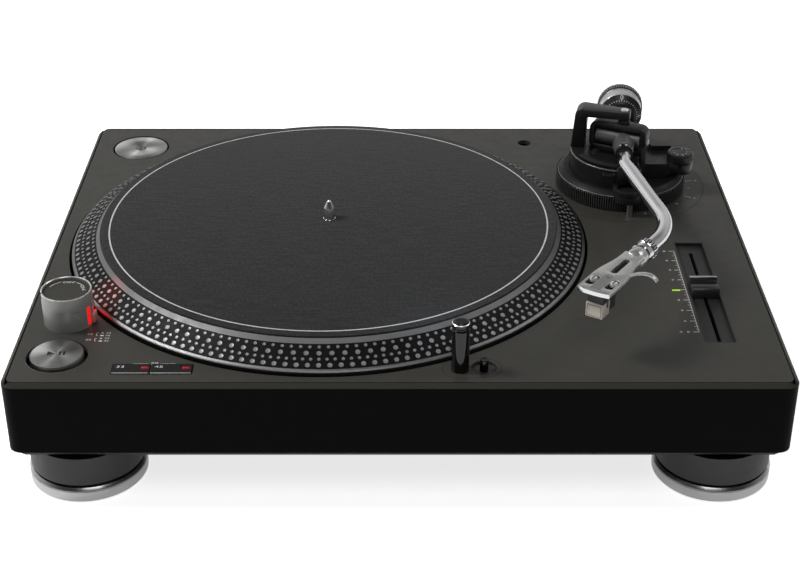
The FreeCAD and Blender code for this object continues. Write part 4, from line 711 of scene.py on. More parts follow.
@dataclass(frozen=True)
class Drawn(Finish):
    """Metal with marks drawn along one axis, by a brush or a belt."""

    along: float = 0.02

    def detail(self, made: Recipe) -> None:
        """Stretches the grain into fine lines along x.

        Args:
            made: The material.
        """
        stretched = add(made.tree, "NodeMapping", {"Scale": (self.along, 1, 1)}, {"Vector": made.place})
        lines = add(made.tree, "NodeTexNoise", {"Scale": per_mm(self.grain_mm), "Detail": 3.0},
                    {"Vector": stretched.outputs[0]})
        for lay in (self.tone, self.gloss, self.relief):
            lay(made, lines.outputs[0])


@dataclass(frozen=True)
class Spun(Finish):
    """Metal turned on a lathe, with fine grooves round its centre that fan the light."""

    centre: Point = (0.0, 0.0)
    fan: float = 0.8
    pitch_mm: float = 0.6
    # How strongly painted highlight and shade lie in rays on the tone, and which way the rays turn
    streak: float = 0.0
    streak_deg: float = 70.0

    def around(self, name: str, x: float, y: float) -> "Spun":
        """Gives the same finish with its rings round another middle."""
        return replace(self, name=name, centre=(x, y))

    def detail(self, made: Recipe) -> None:
        """Cuts rings, turns the highlight across them and, if asked, paints rays of highlight and shade on
        the tone.

        Args:
            made: The material.
        """
        made.hold("Anisotropic", self.fan)
        turned = add(made.tree, "NodeTangent", direction_type="UV_MAP", uv_map=SPIN_MAP)
        made.feed("Tangent", turned.outputs[0])
        home = add(made.tree, "NodeMapping", {
            "Location": (-self.centre[0] * MM, -self.centre[1] * MM, 0), "Scale": (1, 1, 0)},
            {"Vector": made.place})
        reach = add(made.tree, "NodeVectorMath", links={0: home.outputs[0]}, operation="LENGTH")
        rings = add(made.tree, "NodeTexNoise", {"Scale": per_mm(self.pitch_mm), "Detail": 2.0},
                    {"W": reach.outputs["Value"]}, noise_dimensions="1D")
        self.tone(made, rings.outputs[0])
        # Painted highlight and shade: rays fixed on the disc, whatever the lamps do
        if self.streak:
            self.streaks(made, home.outputs[0])
        self.gloss(made, rings.outputs[0])
        self.relief(made, rings.outputs[0])

    def streaks(self, made: Recipe, home: Socket) -> None:
        """Paints rays of highlight and shade into the tone from the middle, as fine turning marks show a
        long lamp.

        Args:
            made: The material.
            home: Coordinates from the disc's middle.
        """
        turned = add(made.tree, "NodeMapping", {"Rotation": (0, 0, math.radians(-self.streak_deg))},
                     {"Vector": home})
        angle = add(made.tree, "NodeTexGradient", links={"Vector": turned.outputs[0]},
                    gradient_type="RADIAL")
        twice = add(made.tree, "NodeMath", {1: 2.0}, {0: angle.outputs["Fac"]}, operation="MULTIPLY")
        share = add(made.tree, "NodeMath", links={0: twice.outputs[0]}, operation="FRACT")
        ramp = add(made.tree, "NodeValToRGB", links={"Fac": share.outputs[0]})
        ends = ramp.color_ramp.elements
        ends[0].color = ends[1].color = (1, 1, 1, 1)
        low = 1 - self.streak
        for spot, tint in ((0.035, 0.9), (0.09, low + 0.2), (0.25, low), (0.45, low + 0.3),
                           (0.55, low + 0.3), (0.75, low), (0.91, low + 0.2), (0.965, 0.9)):
            ends.new(spot).color = (tint, tint, tint, 1)
        both = add(made.tree, "NodeMix", {0: 1.0}, {6: made.source("Base Color"), 7: ramp.outputs[0]},
                   data_type="RGBA", blend_type="MULTIPLY")
        made.feed("Base Color", both.outputs[2])


@dataclass(frozen=True)
class Felt(Finish):
    """Pressed and woven cloth: crossing threads, loose fibres and a soft sheen."""

    thread_mm: float = 0.9

    def detail(self, made: Recipe) -> None:
        """Crosses two rows of threads under a fine fuzz.

        Args:
            made: The material.
        """
        made.hold("Sheen Weight", 0.15)
        made.hold("Sheen Roughness", 0.6)
        layers = []
        for squeeze, size in (((0.07, 1.0, 1.0), self.thread_mm), ((0.8, 0.3, 1.0), self.thread_mm),
                              ((1.0, 1.0, 1.0), self.grain_mm)):
            lying = add(made.tree, "NodeMapping", {"Scale": squeeze}, {"Vector": made.place})
            noise = add(made.tree, "NodeTexNoise", {"Scale": per_mm(size), "Detail": 3.0},
                        {"Vector": lying.outputs[0]})
            layers.append(noise.outputs[0])
        warp, weft, fibres = layers
        cloth = add(made.tree, "NodeMath", links={0: warp, 1: weft}, operation="MULTIPLY")
        even = add(made.tree, "NodeMapRange", {"From Min": 0.12, "From Max": 0.4},
                   {"Value": cloth.outputs[0]})
        self.tone(made, even.outputs[0])
        fuzz = add(made.tree, "NodeMath", links={0: even.outputs[0], 1: fibres}, operation="ADD")
        self.relief(made, fuzz.outputs[0])


@dataclass(frozen=True)
class Lit(Finish):
    """Clear plastic with a lamp behind it, held back where the lens itself is looked at."""

    power: float = 4.0
    seen: float = 1.0
    glow: str = "#ff3020"

    def detail(self, made: Recipe) -> None:
        """Adds the lamp's light to the plastic.

        Args:
            made: The material.
        """
        super().detail(made)
        made.hold("Emission Color", linear(self.glow))
        path = add(made.tree, "NodeLightPath")
        level = add(made.tree, "NodeMapRange", {"To Min": self.power, "To Max": self.seen},
                    {"Value": path.outputs["Is Camera Ray"]})
        made.feed("Emission Strength", level.outputs[0])


class Colour(Enum):
    """Tones that more than one finish uses."""

    DECK = "#3b3a36"
    PITCH = "#0a0a0a"


@dataclass(frozen=True)
class WallPaint(Finish):
    """The cabinet's paint: near black on the walls and the deck's grey on the rim above them."""

    rim: Colour = Colour.DECK
    rim_height: float = 2.3

    def tone(self, made: Recipe, share: Socket) -> None:
        """Changes the colour where the rim starts, by height.

        Args:
            made: The material.
            share: The pattern, from 0 to 1.
        """
        super().tone(made, share)
        height = add(made.tree, "NodeSeparateXYZ", links={0: made.place})
        above = add(made.tree, "NodeMath", {1: (DECK - self.rim_height) * MM},
                    {0: height.outputs["Z"]}, operation="GREATER_THAN")
        both = add(made.tree, "NodeMix", {7: linear(self.rim.value)},
                   {0: above.outputs[0], 6: made.source("Base Color")}, data_type="RGBA")
        made.feed("Base Color", both.outputs[2])


# Finishes of paint and print

# Powder-coated steel: a fine even grain that keeps the light soft
DECK_PAINT = Finish("painted_deck", Colour.DECK.value, roughness=0.42, grain_depth_mm=0.012, mottle=0.05,
                    specular=0.3)
# Painted moulding: near black walls that hardly shine, under a rim in the grey of the deck
CABINET_PAINT = WallPaint("painted_cabinet", "#0b0b0b", roughness=0.42, grain_mm=0.6, grain_depth_mm=0.005,
                          mottle=0.08, specular=0.03)
# Screen-printed ink on dark metal: flat and grey, with hardly any change of tone
INK = Finish("printed_grey_ink", "#c9c9c5", roughness=0.6, mottle=0.06, mottle_mm=1.5)
# Screen-printed ink on the deck and its controls: flat, pale and a little uneven
WHITE_INK = Finish("printed_white_ink", "#d8d8d4", roughness=0.6, mottle=0.08, mottle_mm=1.5)
# Screen-printed ink on bright metal: flat and nearly black
DARK_INK = Finish("printed_dark_ink", "#161616", mottle=0.1, mottle_mm=1.5)
# Silver ink on felt: a matt pale line, uneven where the cloth takes it up
MAT_PRINT = Finish("printed_silver_line", "#c4c4c4", roughness=0.6, mottle=0.08, mottle_mm=2)
# A joint, or painted shade in a slot, notch, groove or recess: dark, it gives back hardly any light
LINE_SHADOW = Finish("dark_joint_and_painted_shade", Colour.PITCH.value, roughness=0.8, mottle=0.2, mottle_mm=2)

# Finishes of plastic, rubber and cloth

# Moulded ABS with a spark-eroded grain: black with a broad dull sheen
SATIN_PLASTIC = Finish("satin_black_abs", "#171717", roughness=0.42, grain_mm=0.35, mottle=0.15,
                       mottle_mm=6)
# Polished ABS: deep black with clear reflections
GLOSS_PLASTIC = Finish("gloss_black_abs", Colour.PITCH.value, roughness=0.1, grain_mm=1.2,
                       grain_depth_mm=0.004, mottle=0.2, gloss_change=0.03)
# Textured ABS in a recess: dark grey without a bright highlight
BEZEL_PAINT = Finish("dark_recessed_plastic", "#232322", grain_mm=0.4, mottle=0.1, mottle_mm=8)
# Matt ABS: the warm grey of the deck, so that the printing stands out
DIAL_FACE = Finish("matt_dial_face", "#35342f", grain_mm=0.3, grain_depth_mm=0.006, mottle=0.06,
                   mottle_mm=4, specular=0.3)
# Satin ABS key cap: black, and too dull to outshine its number
KEY_PLASTIC = Finish("black_key_cap", "#101010", roughness=0.35, grain_mm=0.3, grain_depth_mm=0.004,
                     mottle=0.1, specular=0.25)
# Painted highlight on the front edge of a key cap: one bright line, where the lamps would catch it
KEY_HIGHLIGHT = Finish("painted_key_highlight", "#b8b8b6", roughness=0.3, metallic=0.3, mottle=0.1, mottle_mm=3)
# Satin ABS: dark grey, with a highlight along each curve of the grip
FADER_PLASTIC = Finish("satin_fader_cap", "#2c2c2d", roughness=0.36, grain_mm=0.3, grain_depth_mm=0.004,
                       mottle=0.08, mottle_mm=4)
# Painted highlight: a pale, half metallic bar along the crest at the back of the cap
FADER_HIGHLIGHT = Finish("painted_fader_highlight", "#b4b4b4", roughness=0.25, metallic=0.5, grain_mm=0.4,
                    mottle=0.05, mottle_mm=4)
# Moulded polymer: warm pale grey, nearly even
CARTRIDGE_GREY = Finish("moulded_beige_polymer", "#c6bcb2", roughness=0.38, grain_mm=0.4,
                        grain_depth_mm=0.004, mottle=0.04, mottle_mm=3)
# Painted shade in the groove round the pickup's front: a darker line of the same polymer
CARTRIDGE_GROOVE_SHADE = Finish("painted_groove_shade", "#5f5852", mottle=0.08, mottle_mm=2)
# Moulded rubber: dull, with a coarse grain
RUBBER = Finish("moulded_rubber", "#141414", roughness=0.75, grain_mm=0.8, grain_depth_mm=0.05, mottle=0.25)
# Rubber-coated steel: black with a wide dim highlight
RUBBERED = Finish("rubber_coated_bar", "#151515", roughness=0.6, grain_depth_mm=0.02, mottle=0.2,
                  mottle_mm=4)
# Pressed felt: dull cloth, with threads drawn coarser than real ones so that they show
MAT_FELT = Felt("pressed_felt", "#1b1c1c", roughness=0.9, grain_depth_mm=0.1, mottle=0.55, thread_mm=1.1,
                specular=0.15)

# Finishes of black and grey metal

# Black anodised aluminium: nearly black with a soft sheen
DARK_METAL = Finish("black_anodised_alloy", "#1b1b1b", roughness=0.36, grain_mm=0.3, grain_depth_mm=0.006,
                    mottle_mm=8, specular=0.4)
# Matt black aluminium: darker than its neighbours, with no clear reflection
MATT_BLACK = Finish("matt_black_alloy", "#0d0d0d", grain_mm=0.3, grain_depth_mm=0.006, mottle=0.15,
                    mottle_mm=8, specular=0.2)
# Painted light on the anodised top face: a dark grey, paler than the sides, where the lamps lie on it
YOKE_LIT_TOP = Finish("painted_lit_yoke_top", "#3a3a3a", roughness=0.38, grain_mm=0.3, grain_depth_mm=0.006,
                  mottle=0.08)
# Black paint on cast aluminium: a dull ground that lets the strobe dots shine
CAST_BLACK = Finish("black_platter_rim", "#0a0a0b", grain_depth_mm=0.006, mottle=0.15, specular=0.12)
# Black aluminium: grip ribs whose crests are a little paler than their grooves
RIB_METAL = Finish("pale_rib_crest", "#3c3c3b", roughness=0.35, grain_mm=0.3, grain_depth_mm=0.004,
                   mottle=0.15, mottle_mm=4)
# Painted highlight: a thin grey line on the chamfer or edge of a black part, where the lamps would catch it
EDGE_HIGHLIGHT = Finish("painted_edge_highlight", "#727270", roughness=0.32, metallic=0.3, mottle=0.15, mottle_mm=3)
# Knurl: grey tips over dark grooves
WEIGHT_RIB = Finish("grey_knurl_tip", "#777775", roughness=0.35, metallic=0.4, grain_mm=0.3, mottle=0.1,
                    mottle_mm=3)
# Satin grey aluminium: a blurred highlight along the bearing block
GREY_ALLOY = Finish("satin_grey_alloy", "#6b6b6c", roughness=0.36, metallic=0.55, grain_mm=0.3,
                    grain_depth_mm=0.004, mottle=0.05, mottle_mm=5)
# Brushed and anodised aluminium: light grey with faint lines along the brush
TOWER_METAL = Drawn("satin_silver_alloy", "#9a9a98", roughness=0.4, metallic=0.35, grain_mm=0.4,
                    grain_depth_mm=0.002, mottle=0.05)

# Finishes of bright metal

# Aluminium faced on a lathe: fine rings that fan the lamps, and dark and bright rays painted as highlight
# and shade
SPUN_ALLOY_PAINTED_RAYS = Spun("spun_alloy_painted_rays", "#f0f0ee", roughness=0.34, metallic=1.0, grain_depth_mm=0.002, mottle=0.08,
                  fan=0.5, pitch_mm=0.8, streak=0.6)
# Turned aluminium: rings that spread the highlight across the platter
TURNED_RIM = Spun("turned_alloy", "#6e6e6e", roughness=0.42, metallic=1.0, grain_depth_mm=0.002,
                  mottle=0.06, fan=0.4)
# Polished aluminium with a fine haze: a smooth and softly lit edge
POLISHED_RIM = Finish("polished_alloy", "#6c6c6c", metallic=0.7, grain_mm=0.8, grain_depth_mm=0.001,
                      mottle=0.04, mottle_mm=10)
# Cast dots turned bright on their tops: pale spots on the black rim
STROBE_DOT = Finish("turned_strobe_dot", "#868686", roughness=0.42, metallic=0.35, grain_mm=0.6,
                    grain_depth_mm=0.001, mottle=0.05, mottle_mm=20)
# Turned and polished aluminium: broad bands of light round the weight
WEIGHT_METAL = Spun("turned_weight_alloy", "#bcbcbc", roughness=0.3, metallic=0.75, grain_depth_mm=0.002,
                    mottle=0.06, fan=0.3)
# Blasted and anodised aluminium: pale, even and softly lit
SHELL_ALLOY = Finish("blasted_headshell_alloy", "#c2c2c0", roughness=0.32, metallic=0.85,
                     grain_depth_mm=0.002, mottle=0.03, mottle_mm=8)
# Etched panel in the headshell: a duller and darker grey
SHELL_PANEL = Finish("etched_headshell_panel", "#969694", roughness=0.45, metallic=0.8, grain_mm=0.3,
                     grain_depth_mm=0.002, mottle=0.06, mottle_mm=2)
# Drawn steel: fine lines along its length
STEEL = Drawn("drawn_steel", "#b4b4b2", roughness=0.32, metallic=1.0, grain_mm=0.3, grain_depth_mm=0.004,
              mottle=0.1)
# Ground steel: bright, with a small blur in its reflections
SPINDLE_STEEL = Finish("ground_spindle_steel", "#e2e2e0", roughness=0.18, metallic=1.0, grain_mm=0.3,
                       grain_depth_mm=0.001, mottle=0.04)
# Chrome plate: clear reflections and hardly any tone of its own
CHROME = Finish("chrome_plate", "#d6d6d8", roughness=0.12, metallic=1.0, grain_mm=4, grain_depth_mm=0.001,
                mottle=0.03, gloss_change=0.02)
# Satin chrome: bright but blurred
SATIN_CHROME = Finish("satin_chrome", "#dedede", roughness=0.28, metallic=0.6, grain_depth_mm=0.001,
                      mottle=0.04)
# Chrome on turned feet: reflections a little blurred by the marks under it
FOOT_METAL = Finish("turned_foot_chrome", "#b6b6b6", roughness=0.24, metallic=1.0, grain_mm=2.0,
                    grain_depth_mm=0.001, mottle=0.04, mottle_mm=15, gloss_change=0.02)
# Turned brass: warm and bright
BRASS = Drawn("turned_brass", "#b08d4a", roughness=0.3, metallic=1.0, grain_mm=0.3, mottle=0.1)

# Finishes of what is inside

# Sintered ferrite: dull grey black with coarse grains
FERRITE = Finish("sintered_ferrite", "#26272a", roughness=0.6, metallic=0.3, grain_mm=0.4,
                 grain_depth_mm=0.03, mottle=0.3, mottle_mm=2)
# Solder mask on glass fibre: green and faintly glossy
BOARD = Finish("green_circuit_board", "#1f4a2c", roughness=0.35, grain_mm=0.8, mottle=0.25, mottle_mm=4)

# Finishes of the lamps

# Red acrylic: a dark red that glows dimly
RED_LENS = Lit("red_lamp_lens", "#7a0c14", roughness=0.25, power=1.0, seen=0.35, glow="#c01020",
               grain_depth_mm=0.0)
# Green acrylic: a bright yellow green
GREEN_LENS = Lit("green_lamp_lens", "#8fc018", roughness=0.25, power=1.0, seen=0.5, glow="#9fd020",
                 grain_depth_mm=0.0)
# Red acrylic round the strobe lamp: it lights its surroundings and is dark itself
STROBE_GLOW = Lit("strobe_lamp_window", "#4a1816", roughness=0.3, seen=0.03, glow="#ff0a06",
                  grain_depth_mm=0.0)
# Red acrylic on the near side of the lamp: an even bright red
FRONT_LENS = Lit("strobe_front_window", "#b01812", roughness=0.3, power=1.5, seen=0.7, glow="#ff2018",
                 grain_depth_mm=0.0)
# Frosted acrylic: a pale pink cover over the lamp
PALE_LENS = Finish("frosted_lamp_cover", "#c98a86", roughness=0.3, mottle=0.05, mottle_mm=3,
                   grain_depth_mm=0.0)
# Clear lens of a white lamp: it lights the stylus
TARGET_GLOW = Lit("stylus_lamp_lens", "#f4f4ff", roughness=0.3, power=500.0, seen=2.0, glow="#dfe6ff",
                  grain_depth_mm=0.0)


# Places that the sub-assemblies share

def middle(node: str) -> Point:
    """Finds where a CAD node stands on the deck, in millimetres."""
    return tuple(room(node).centre.xy)


PLATTER = at(*middle("platter"), 0)
ARM_BASE = at(*middle("height_ring"), 0)
PIVOT = ARM_BASE @ step(0, 0, 34.8)
YOKE = ARM_BASE @ step(0, 0, 0, ("Z", -13))
GIMBAL = PIVOT @ step(0, 0, 0, ("Z", -26))
ARM = PIVOT @ step(0, 0, 0, ("Z", -95), ("Y", -1.8))
HEAD = ARM @ step(139.7, 24.5, 0, ("Z", -27.8))

# An outline drawn in x and y is stood up to run along another axis, and a turned piece is laid along x
ALONG_X = Matrix(((0, 0, 1, 0), (1, 0, 0, 0), (0, 1, 0, 0), (0, 0, 0, 1)))
ALONG_Y = Matrix(((1, 0, 0, 0), (0, 0, 1, 0), (0, 1, 0, 0), (0, 0, 0, 1)))
TURN_TO_X = turn(90, "Y")


@dataclass
class Assembly:
    """A part of the turntable that is made and dressed together."""

    def build(self) -> None:
        """Makes the meshes."""

    def dress(self) -> None:
        """Gives the CAD nodes that stay their finishes."""


@dataclass
class Cabinet(Assembly):
    """The box with its deck, its base and what is fixed inside."""

    scale_x: float = 176.5
    scale_back: float = -18.9
    scale_front: float = -118.6
    marks: tuple[str, ...] = ("8", "6", "4", "2", "", "2", "4", "6", "8")
    fine_line: float = 0.3
    scale_line: float = 0.35
    bracket_left: float = -152.4
    bracket_right: float = -127.9
    bracket_y: float = -153.4
    table_rows: tuple[tuple[str, float], ...] = (("50", -121.2), ("60", -127.3))
    height_marks: tuple[float, ...] = (4.6, -9.0, -25.3, -42.0, -58.7, -75.4)
    arm_joint_r: float = 57.8
    light_joint_r: float = 10.2
    well_edge_y: float = -164.9
    button_edge_r: float = 18.2

    def build(self) -> None:
        """Prints the deck and draws its edges and joints."""
        ink = Shape()
        self.tempo_scale(ink)
        self.speed_legend(ink)
        self.height_scale(ink)
        piece("deck_print", ink, "cabinet", WHITE_INK)
        self.bright_edges()
        self.joints()

    def bright_edges(self) -> None:
        """Paints a highlight on the edges of the deck's recesses, where they catch the light."""
        z = DECK + PRINT_LIFT
        edges = Shape().stroke((-164.2, self.well_edge_y), (-116.6, self.well_edge_y), self.fine_line, z)
        edges.arc(self.button_edge_r, self.fine_line, z, *middle("start_stop_button"), 205, 318, 40)
        piece("deck_edge_highlights", edges, "cabinet", EDGE_HIGHLIGHT)

    def joints(self) -> None:
        """Draws the joints round the tonearm's plate and round the stylus light with its release."""
        z = DECK + PRINT_LIFT / 2
        line = Shape().arc(self.arm_joint_r, self.scale_line, z, *middle("height_ring"), -128, 88, 120)
        outer, inner = (ring(radius, 24, *middle("target_light"), 90, 270)
                        + ring(radius, 24, *middle("light_button"), -90, 90)
                        for radius in (self.light_joint_r, self.light_joint_r - self.fine_line))
        line.slab(outer, z, z, [inner])
        piece("deck_outlines", line, "cabinet", LINE_SHADOW)

    def tempo_scale(self, ink: Shape) -> None:
        """Prints the line beside the fader, its ticks and its numbers.

        Args:
            ink: The deck's printing.
        """
        x, back, front, z = self.scale_x, self.scale_back, self.scale_front, DECK + PRINT_LIFT
        pitch = (back - front) / (len(self.marks) - 1)
        ink.stroke((x, back), (x, front), self.scale_line, z)
        for number, mark in enumerate(self.marks):
            y = back - pitch * number
            ink.stroke((x - 3.4, y), (x, y), 0.5, z)
            if mark:
                ink.words(mark, 1.7, Matrix.Translation((x - 6.3, y, z)), 1.5)
            if number + 1 < len(self.marks):
                for share, length in ((0.25, 1.2), (0.5, 1.9), (0.75, 1.2)):
                    tick = y - pitch * share
                    ink.stroke((x - length, tick), (x, tick), self.scale_line, z)
        # A minus sign behind the fader's slot and a plus sign in front of it
        for end in (back, front):
            ink.stroke((x - 11.6, end), (x - 9.6, end), self.scale_line, z)
        ink.stroke((x - 10.6, front - 1), (x - 10.6, front + 1), self.scale_line, z)

    def speed_legend(self, ink: Shape) -> None:
        """Prints the bracket over the keys and the small table of speeds beside the tower.

        Args:
            ink: The deck's printing.
        """
        z, y = DECK + PRINT_LIFT, self.bracket_y
        middle_x = (self.bracket_left + self.bracket_right) / 2
        ink.words("78", 1.9, Matrix.Translation((middle_x, y + 0.3, z)), 1.7)
        for side, stop in ((self.bracket_left, middle_x - 3.4), (self.bracket_right, middle_x + 3.4)):
            ink.stroke((side, y), (stop, y), 0.4, z)
            ink.stroke((side, y), (side, y - 1.6), 0.4, z)
        brace_x, half, row_gap = -178.6, 1.5, 2.9
        for mains, y in self.table_rows:
            ink.words(mains, 1.5, Matrix.Translation((-182.4, y, z)), 1.5)
            for row, number in enumerate(("33", "45")):
                line = y + row_gap / 2 - row_gap * row
                ink.words(number, 1.5, Matrix.Translation((-171.7, line, z)), 1.4)
                if row:
                    ink.stroke((-176.2, line), (-174.2, line), 1.1, z)
                else:
                    ink.dot(0.6, -175.3, line, z, 12)
            ink.stroke((brace_x, y + half), (brace_x, y - half), self.fine_line, z)
            for end in (y + half, y - half):
                ink.stroke((brace_x, end), (brace_x + 1, end), self.fine_line, z)

    def height_scale(self, ink: Shape) -> None:
        """Prints the tonearm height's marks round its ring, every second one long and numbered.

        Args:
            ink: The deck's printing.
        """
        for number, degrees in enumerate(self.height_marks):
            mark = Shape()
            if number % 2 == 0:
                mark.stroke((46.8, 0), (51.5, 0), 0.45, 0).words(str(number), 1.7, step(53.9, 0, 0))
            else:
                mark.stroke((46.6, 0), (48.6, 0), 0.45, 0)
            ink.take(mark.move(at(*middle("height_ring"), PRINT_LIFT, ("Z", degrees))))

    def dress(self) -> None:
        """Dresses the box and its inner parts."""
        dress(CABINET_PAINT, "plinth_frame")
        dress(DECK_PAINT, "top_panel", "arm_mount_plate")
        dress(BEZEL_PAINT, "control_bezel")
        dress(RUBBER, "damping_base")
        dress(STEEL, "base_screws", "guide_post")
        dress(FERRITE, "rotor_magnet")
        dress(BOARD, "stator_board", "main_board")
        dress(BRASS, "bearing_housing")
        dress(SATIN_PLASTIC, "foot_housings", "power_supply", "fader_mechanism")


@dataclass
class Feet(Assembly):
    """The four sprung feet with their turned chrome rings."""

    ring_r: float = 35.0
    low: float = 0.8
    top: float = 9.8
    line_drop: float = 2.1

    def build(self) -> None:
        """Turns each foot's ring, with a dark parting line below its polished shoulder."""
        line, edge = self.top - self.line_drop, self.ring_r
        for number in range(1, 5):
            node = f"foot_ring_{number}"
            shape = Shape().lathe([
                (33.3, self.low), (34.6, self.low), (edge, self.low + 0.5), (edge, line - 0.35),
                (34.5, line - 0.35), (34.5, line + 0.05), (edge, line + 0.05), (edge, line + 0.4),
                (34.7, line + 0.85), (33.5, self.top), (30.3, self.top), (30.3, 5.3), (33.3, 5.3)], 128)
            shape.paint(1, lambda spot: line - 0.4 < spot.z < line + 0.04 and spot.length > 34)
            shape.spin_map()
            piece(node + "_turned", shape.move(at(*middle(node), -DECK)), node, FOOT_METAL, LINE_SHADOW,
                  replaces=[node], slot="chrome_ring")

    def dress(self) -> None:
        """Dresses the rubber pads."""
        dress(RUBBER, *[f"foot_pad_{number}" for number in range(1, 5)])


@dataclass
class Platter(Assembly):
    """The strobe platter, its mat and the spindle."""

    cone_low: Point = (164.4, 3.0)
    cone_top: Point = (150.1, 10.95)
    slope: float = 0.556
    dot_rise: float = 0.35
    rows: tuple[tuple[float, int, float], ...] = (
        (162.2, 160, 1.45), (158.8, 216, 0.95), (155.45, 133, 1.45), (151.9, 180, 0.95))
    mat_r: float = 147.2
    mat_low: float = 11.25
    mat_top: float = 14.25
    mat_line_r: float = 141.45
    mat_line: float = 0.95

    def build(self) -> None:
        """Makes the casting, the rows of dots, the mat and the spindle."""
        shape = Shape().lathe([
            (4, -9.7), (22, -9.7), (22, -4.2), (72, -4.2), (72, 6.25), (140, 6.25), (140, -9.7),
            (165.2, -9.7), (166.2, -8.7), (166.2, 1.7), (165.9, 2.1), (164.9, 2.75), self.cone_low,
            self.cone_top, (149.7, 11.2), (147.9, 13.05), (147.6, 13.25), (147.5, 13.25),
            (147.5, self.mat_low), (4, self.mat_low)], 256)
        shape.paint(1, lambda spot: 150.0 < off_axis(spot) < 164.5 and spot.z > 2.9)
        shape.paint(2, lambda spot: 147.5 < off_axis(spot) < 150.05 and spot.z > 10.9)
        shape.spin_map()
        piece("platter_casting", shape.move(PLATTER), "platter", TURNED_RIM, CAST_BLACK, POLISHED_RIM,
              replaces=["platter"], slot="platter_metal")
        dots = Shape()
        for reach, count, radius in self.rows:
            dots.take(self.dot(radius).move(self.on_cone(reach)).repeat(count))
        piece("strobe_dots", dots.move(PLATTER), "platter", STROBE_DOT, sharp=12)
        self.mat()
        self.spindle()

    def dot(self, radius: float) -> Shape:
        """Makes one raised dot with a shallow dish in its top.

        Args:
            radius: The dot's radius.

        Returns:
            The dot, on the origin.
        """
        made = bmesh.new()
        bmesh.ops.create_circle(made, cap_ends=True, segments=12, radius=radius)
        raised = bmesh.ops.extrude_face_region(made, geom=made.faces[:])
        top = [v for v in raised["geom"] if isinstance(v, bmesh.types.BMVert)]
        bmesh.ops.translate(made, verts=top, vec=(0, 0, self.dot_rise))
        bmesh.ops.recalc_face_normals(made, faces=made.faces[:])
        face = [f for f in made.faces if len(f.verts) == 12 and f.calc_center_median().z > 0.1]
        bmesh.ops.inset_region(made, faces=face, thickness=radius * 0.4, depth=-radius * 0.06)
        return Shape().take(made)

    def on_cone(self, reach: float) -> Matrix:
        """Places a dot on the cone in front of the spindle.

        Args:
            reach: How far from the spindle.

        Returns:
            Its place from the platter's middle.
        """
        height = self.cone_low[1] + (self.cone_low[0] - reach) * self.slope
        lean = math.degrees(math.atan(self.slope))
        return step(0, 0, 0, ("Z", -90)) @ step(reach, 0, height - 0.05, ("Y", lean))

    def mat(self) -> None:
        """Lays the mat in the platter's seat."""
        top = self.mat_top
        shape = Shape().lathe([(4.3, self.mat_low), (self.mat_r, self.mat_low), (self.mat_r, top - 0.6),
                               (self.mat_r - 0.25, top - 0.15), (self.mat_r - 0.9, top), (4.7, top),
                               (4.3, top - 0.3)], 256)
        made = piece("felt_mat", shape.move(PLATTER), "slip_mat", MAT_FELT, replaces=["slip_mat"],
                     slot="mat_felt")
        line = Shape().arc(self.mat_line_r, self.mat_line, top + PRINT_LIFT, steps=256)
        piece("mat_ring_print", line.move(PLATTER), "slip_mat", MAT_PRINT)

    def spindle(self) -> None:
        """Turns the spindle with its pointed tip."""
        cone_z = 22.3
        shape = Shape().lathe([(0, -36), (4, -36), (4, self.mat_top), (3.575, 14.4), (3.575, 21.9),
                               (3.4, cone_z), (1.25, 26.4), (0.9, 26.85), (0.45, 27.13), (0, 27.2)], 48)
        shape.paint(1, lambda spot: spot.z > cone_z)
        piece("spindle_turned", shape.move(PLATTER), "platter", SPINDLE_STEEL, CHROME,
              replaces=["spindle"], slot="steel")


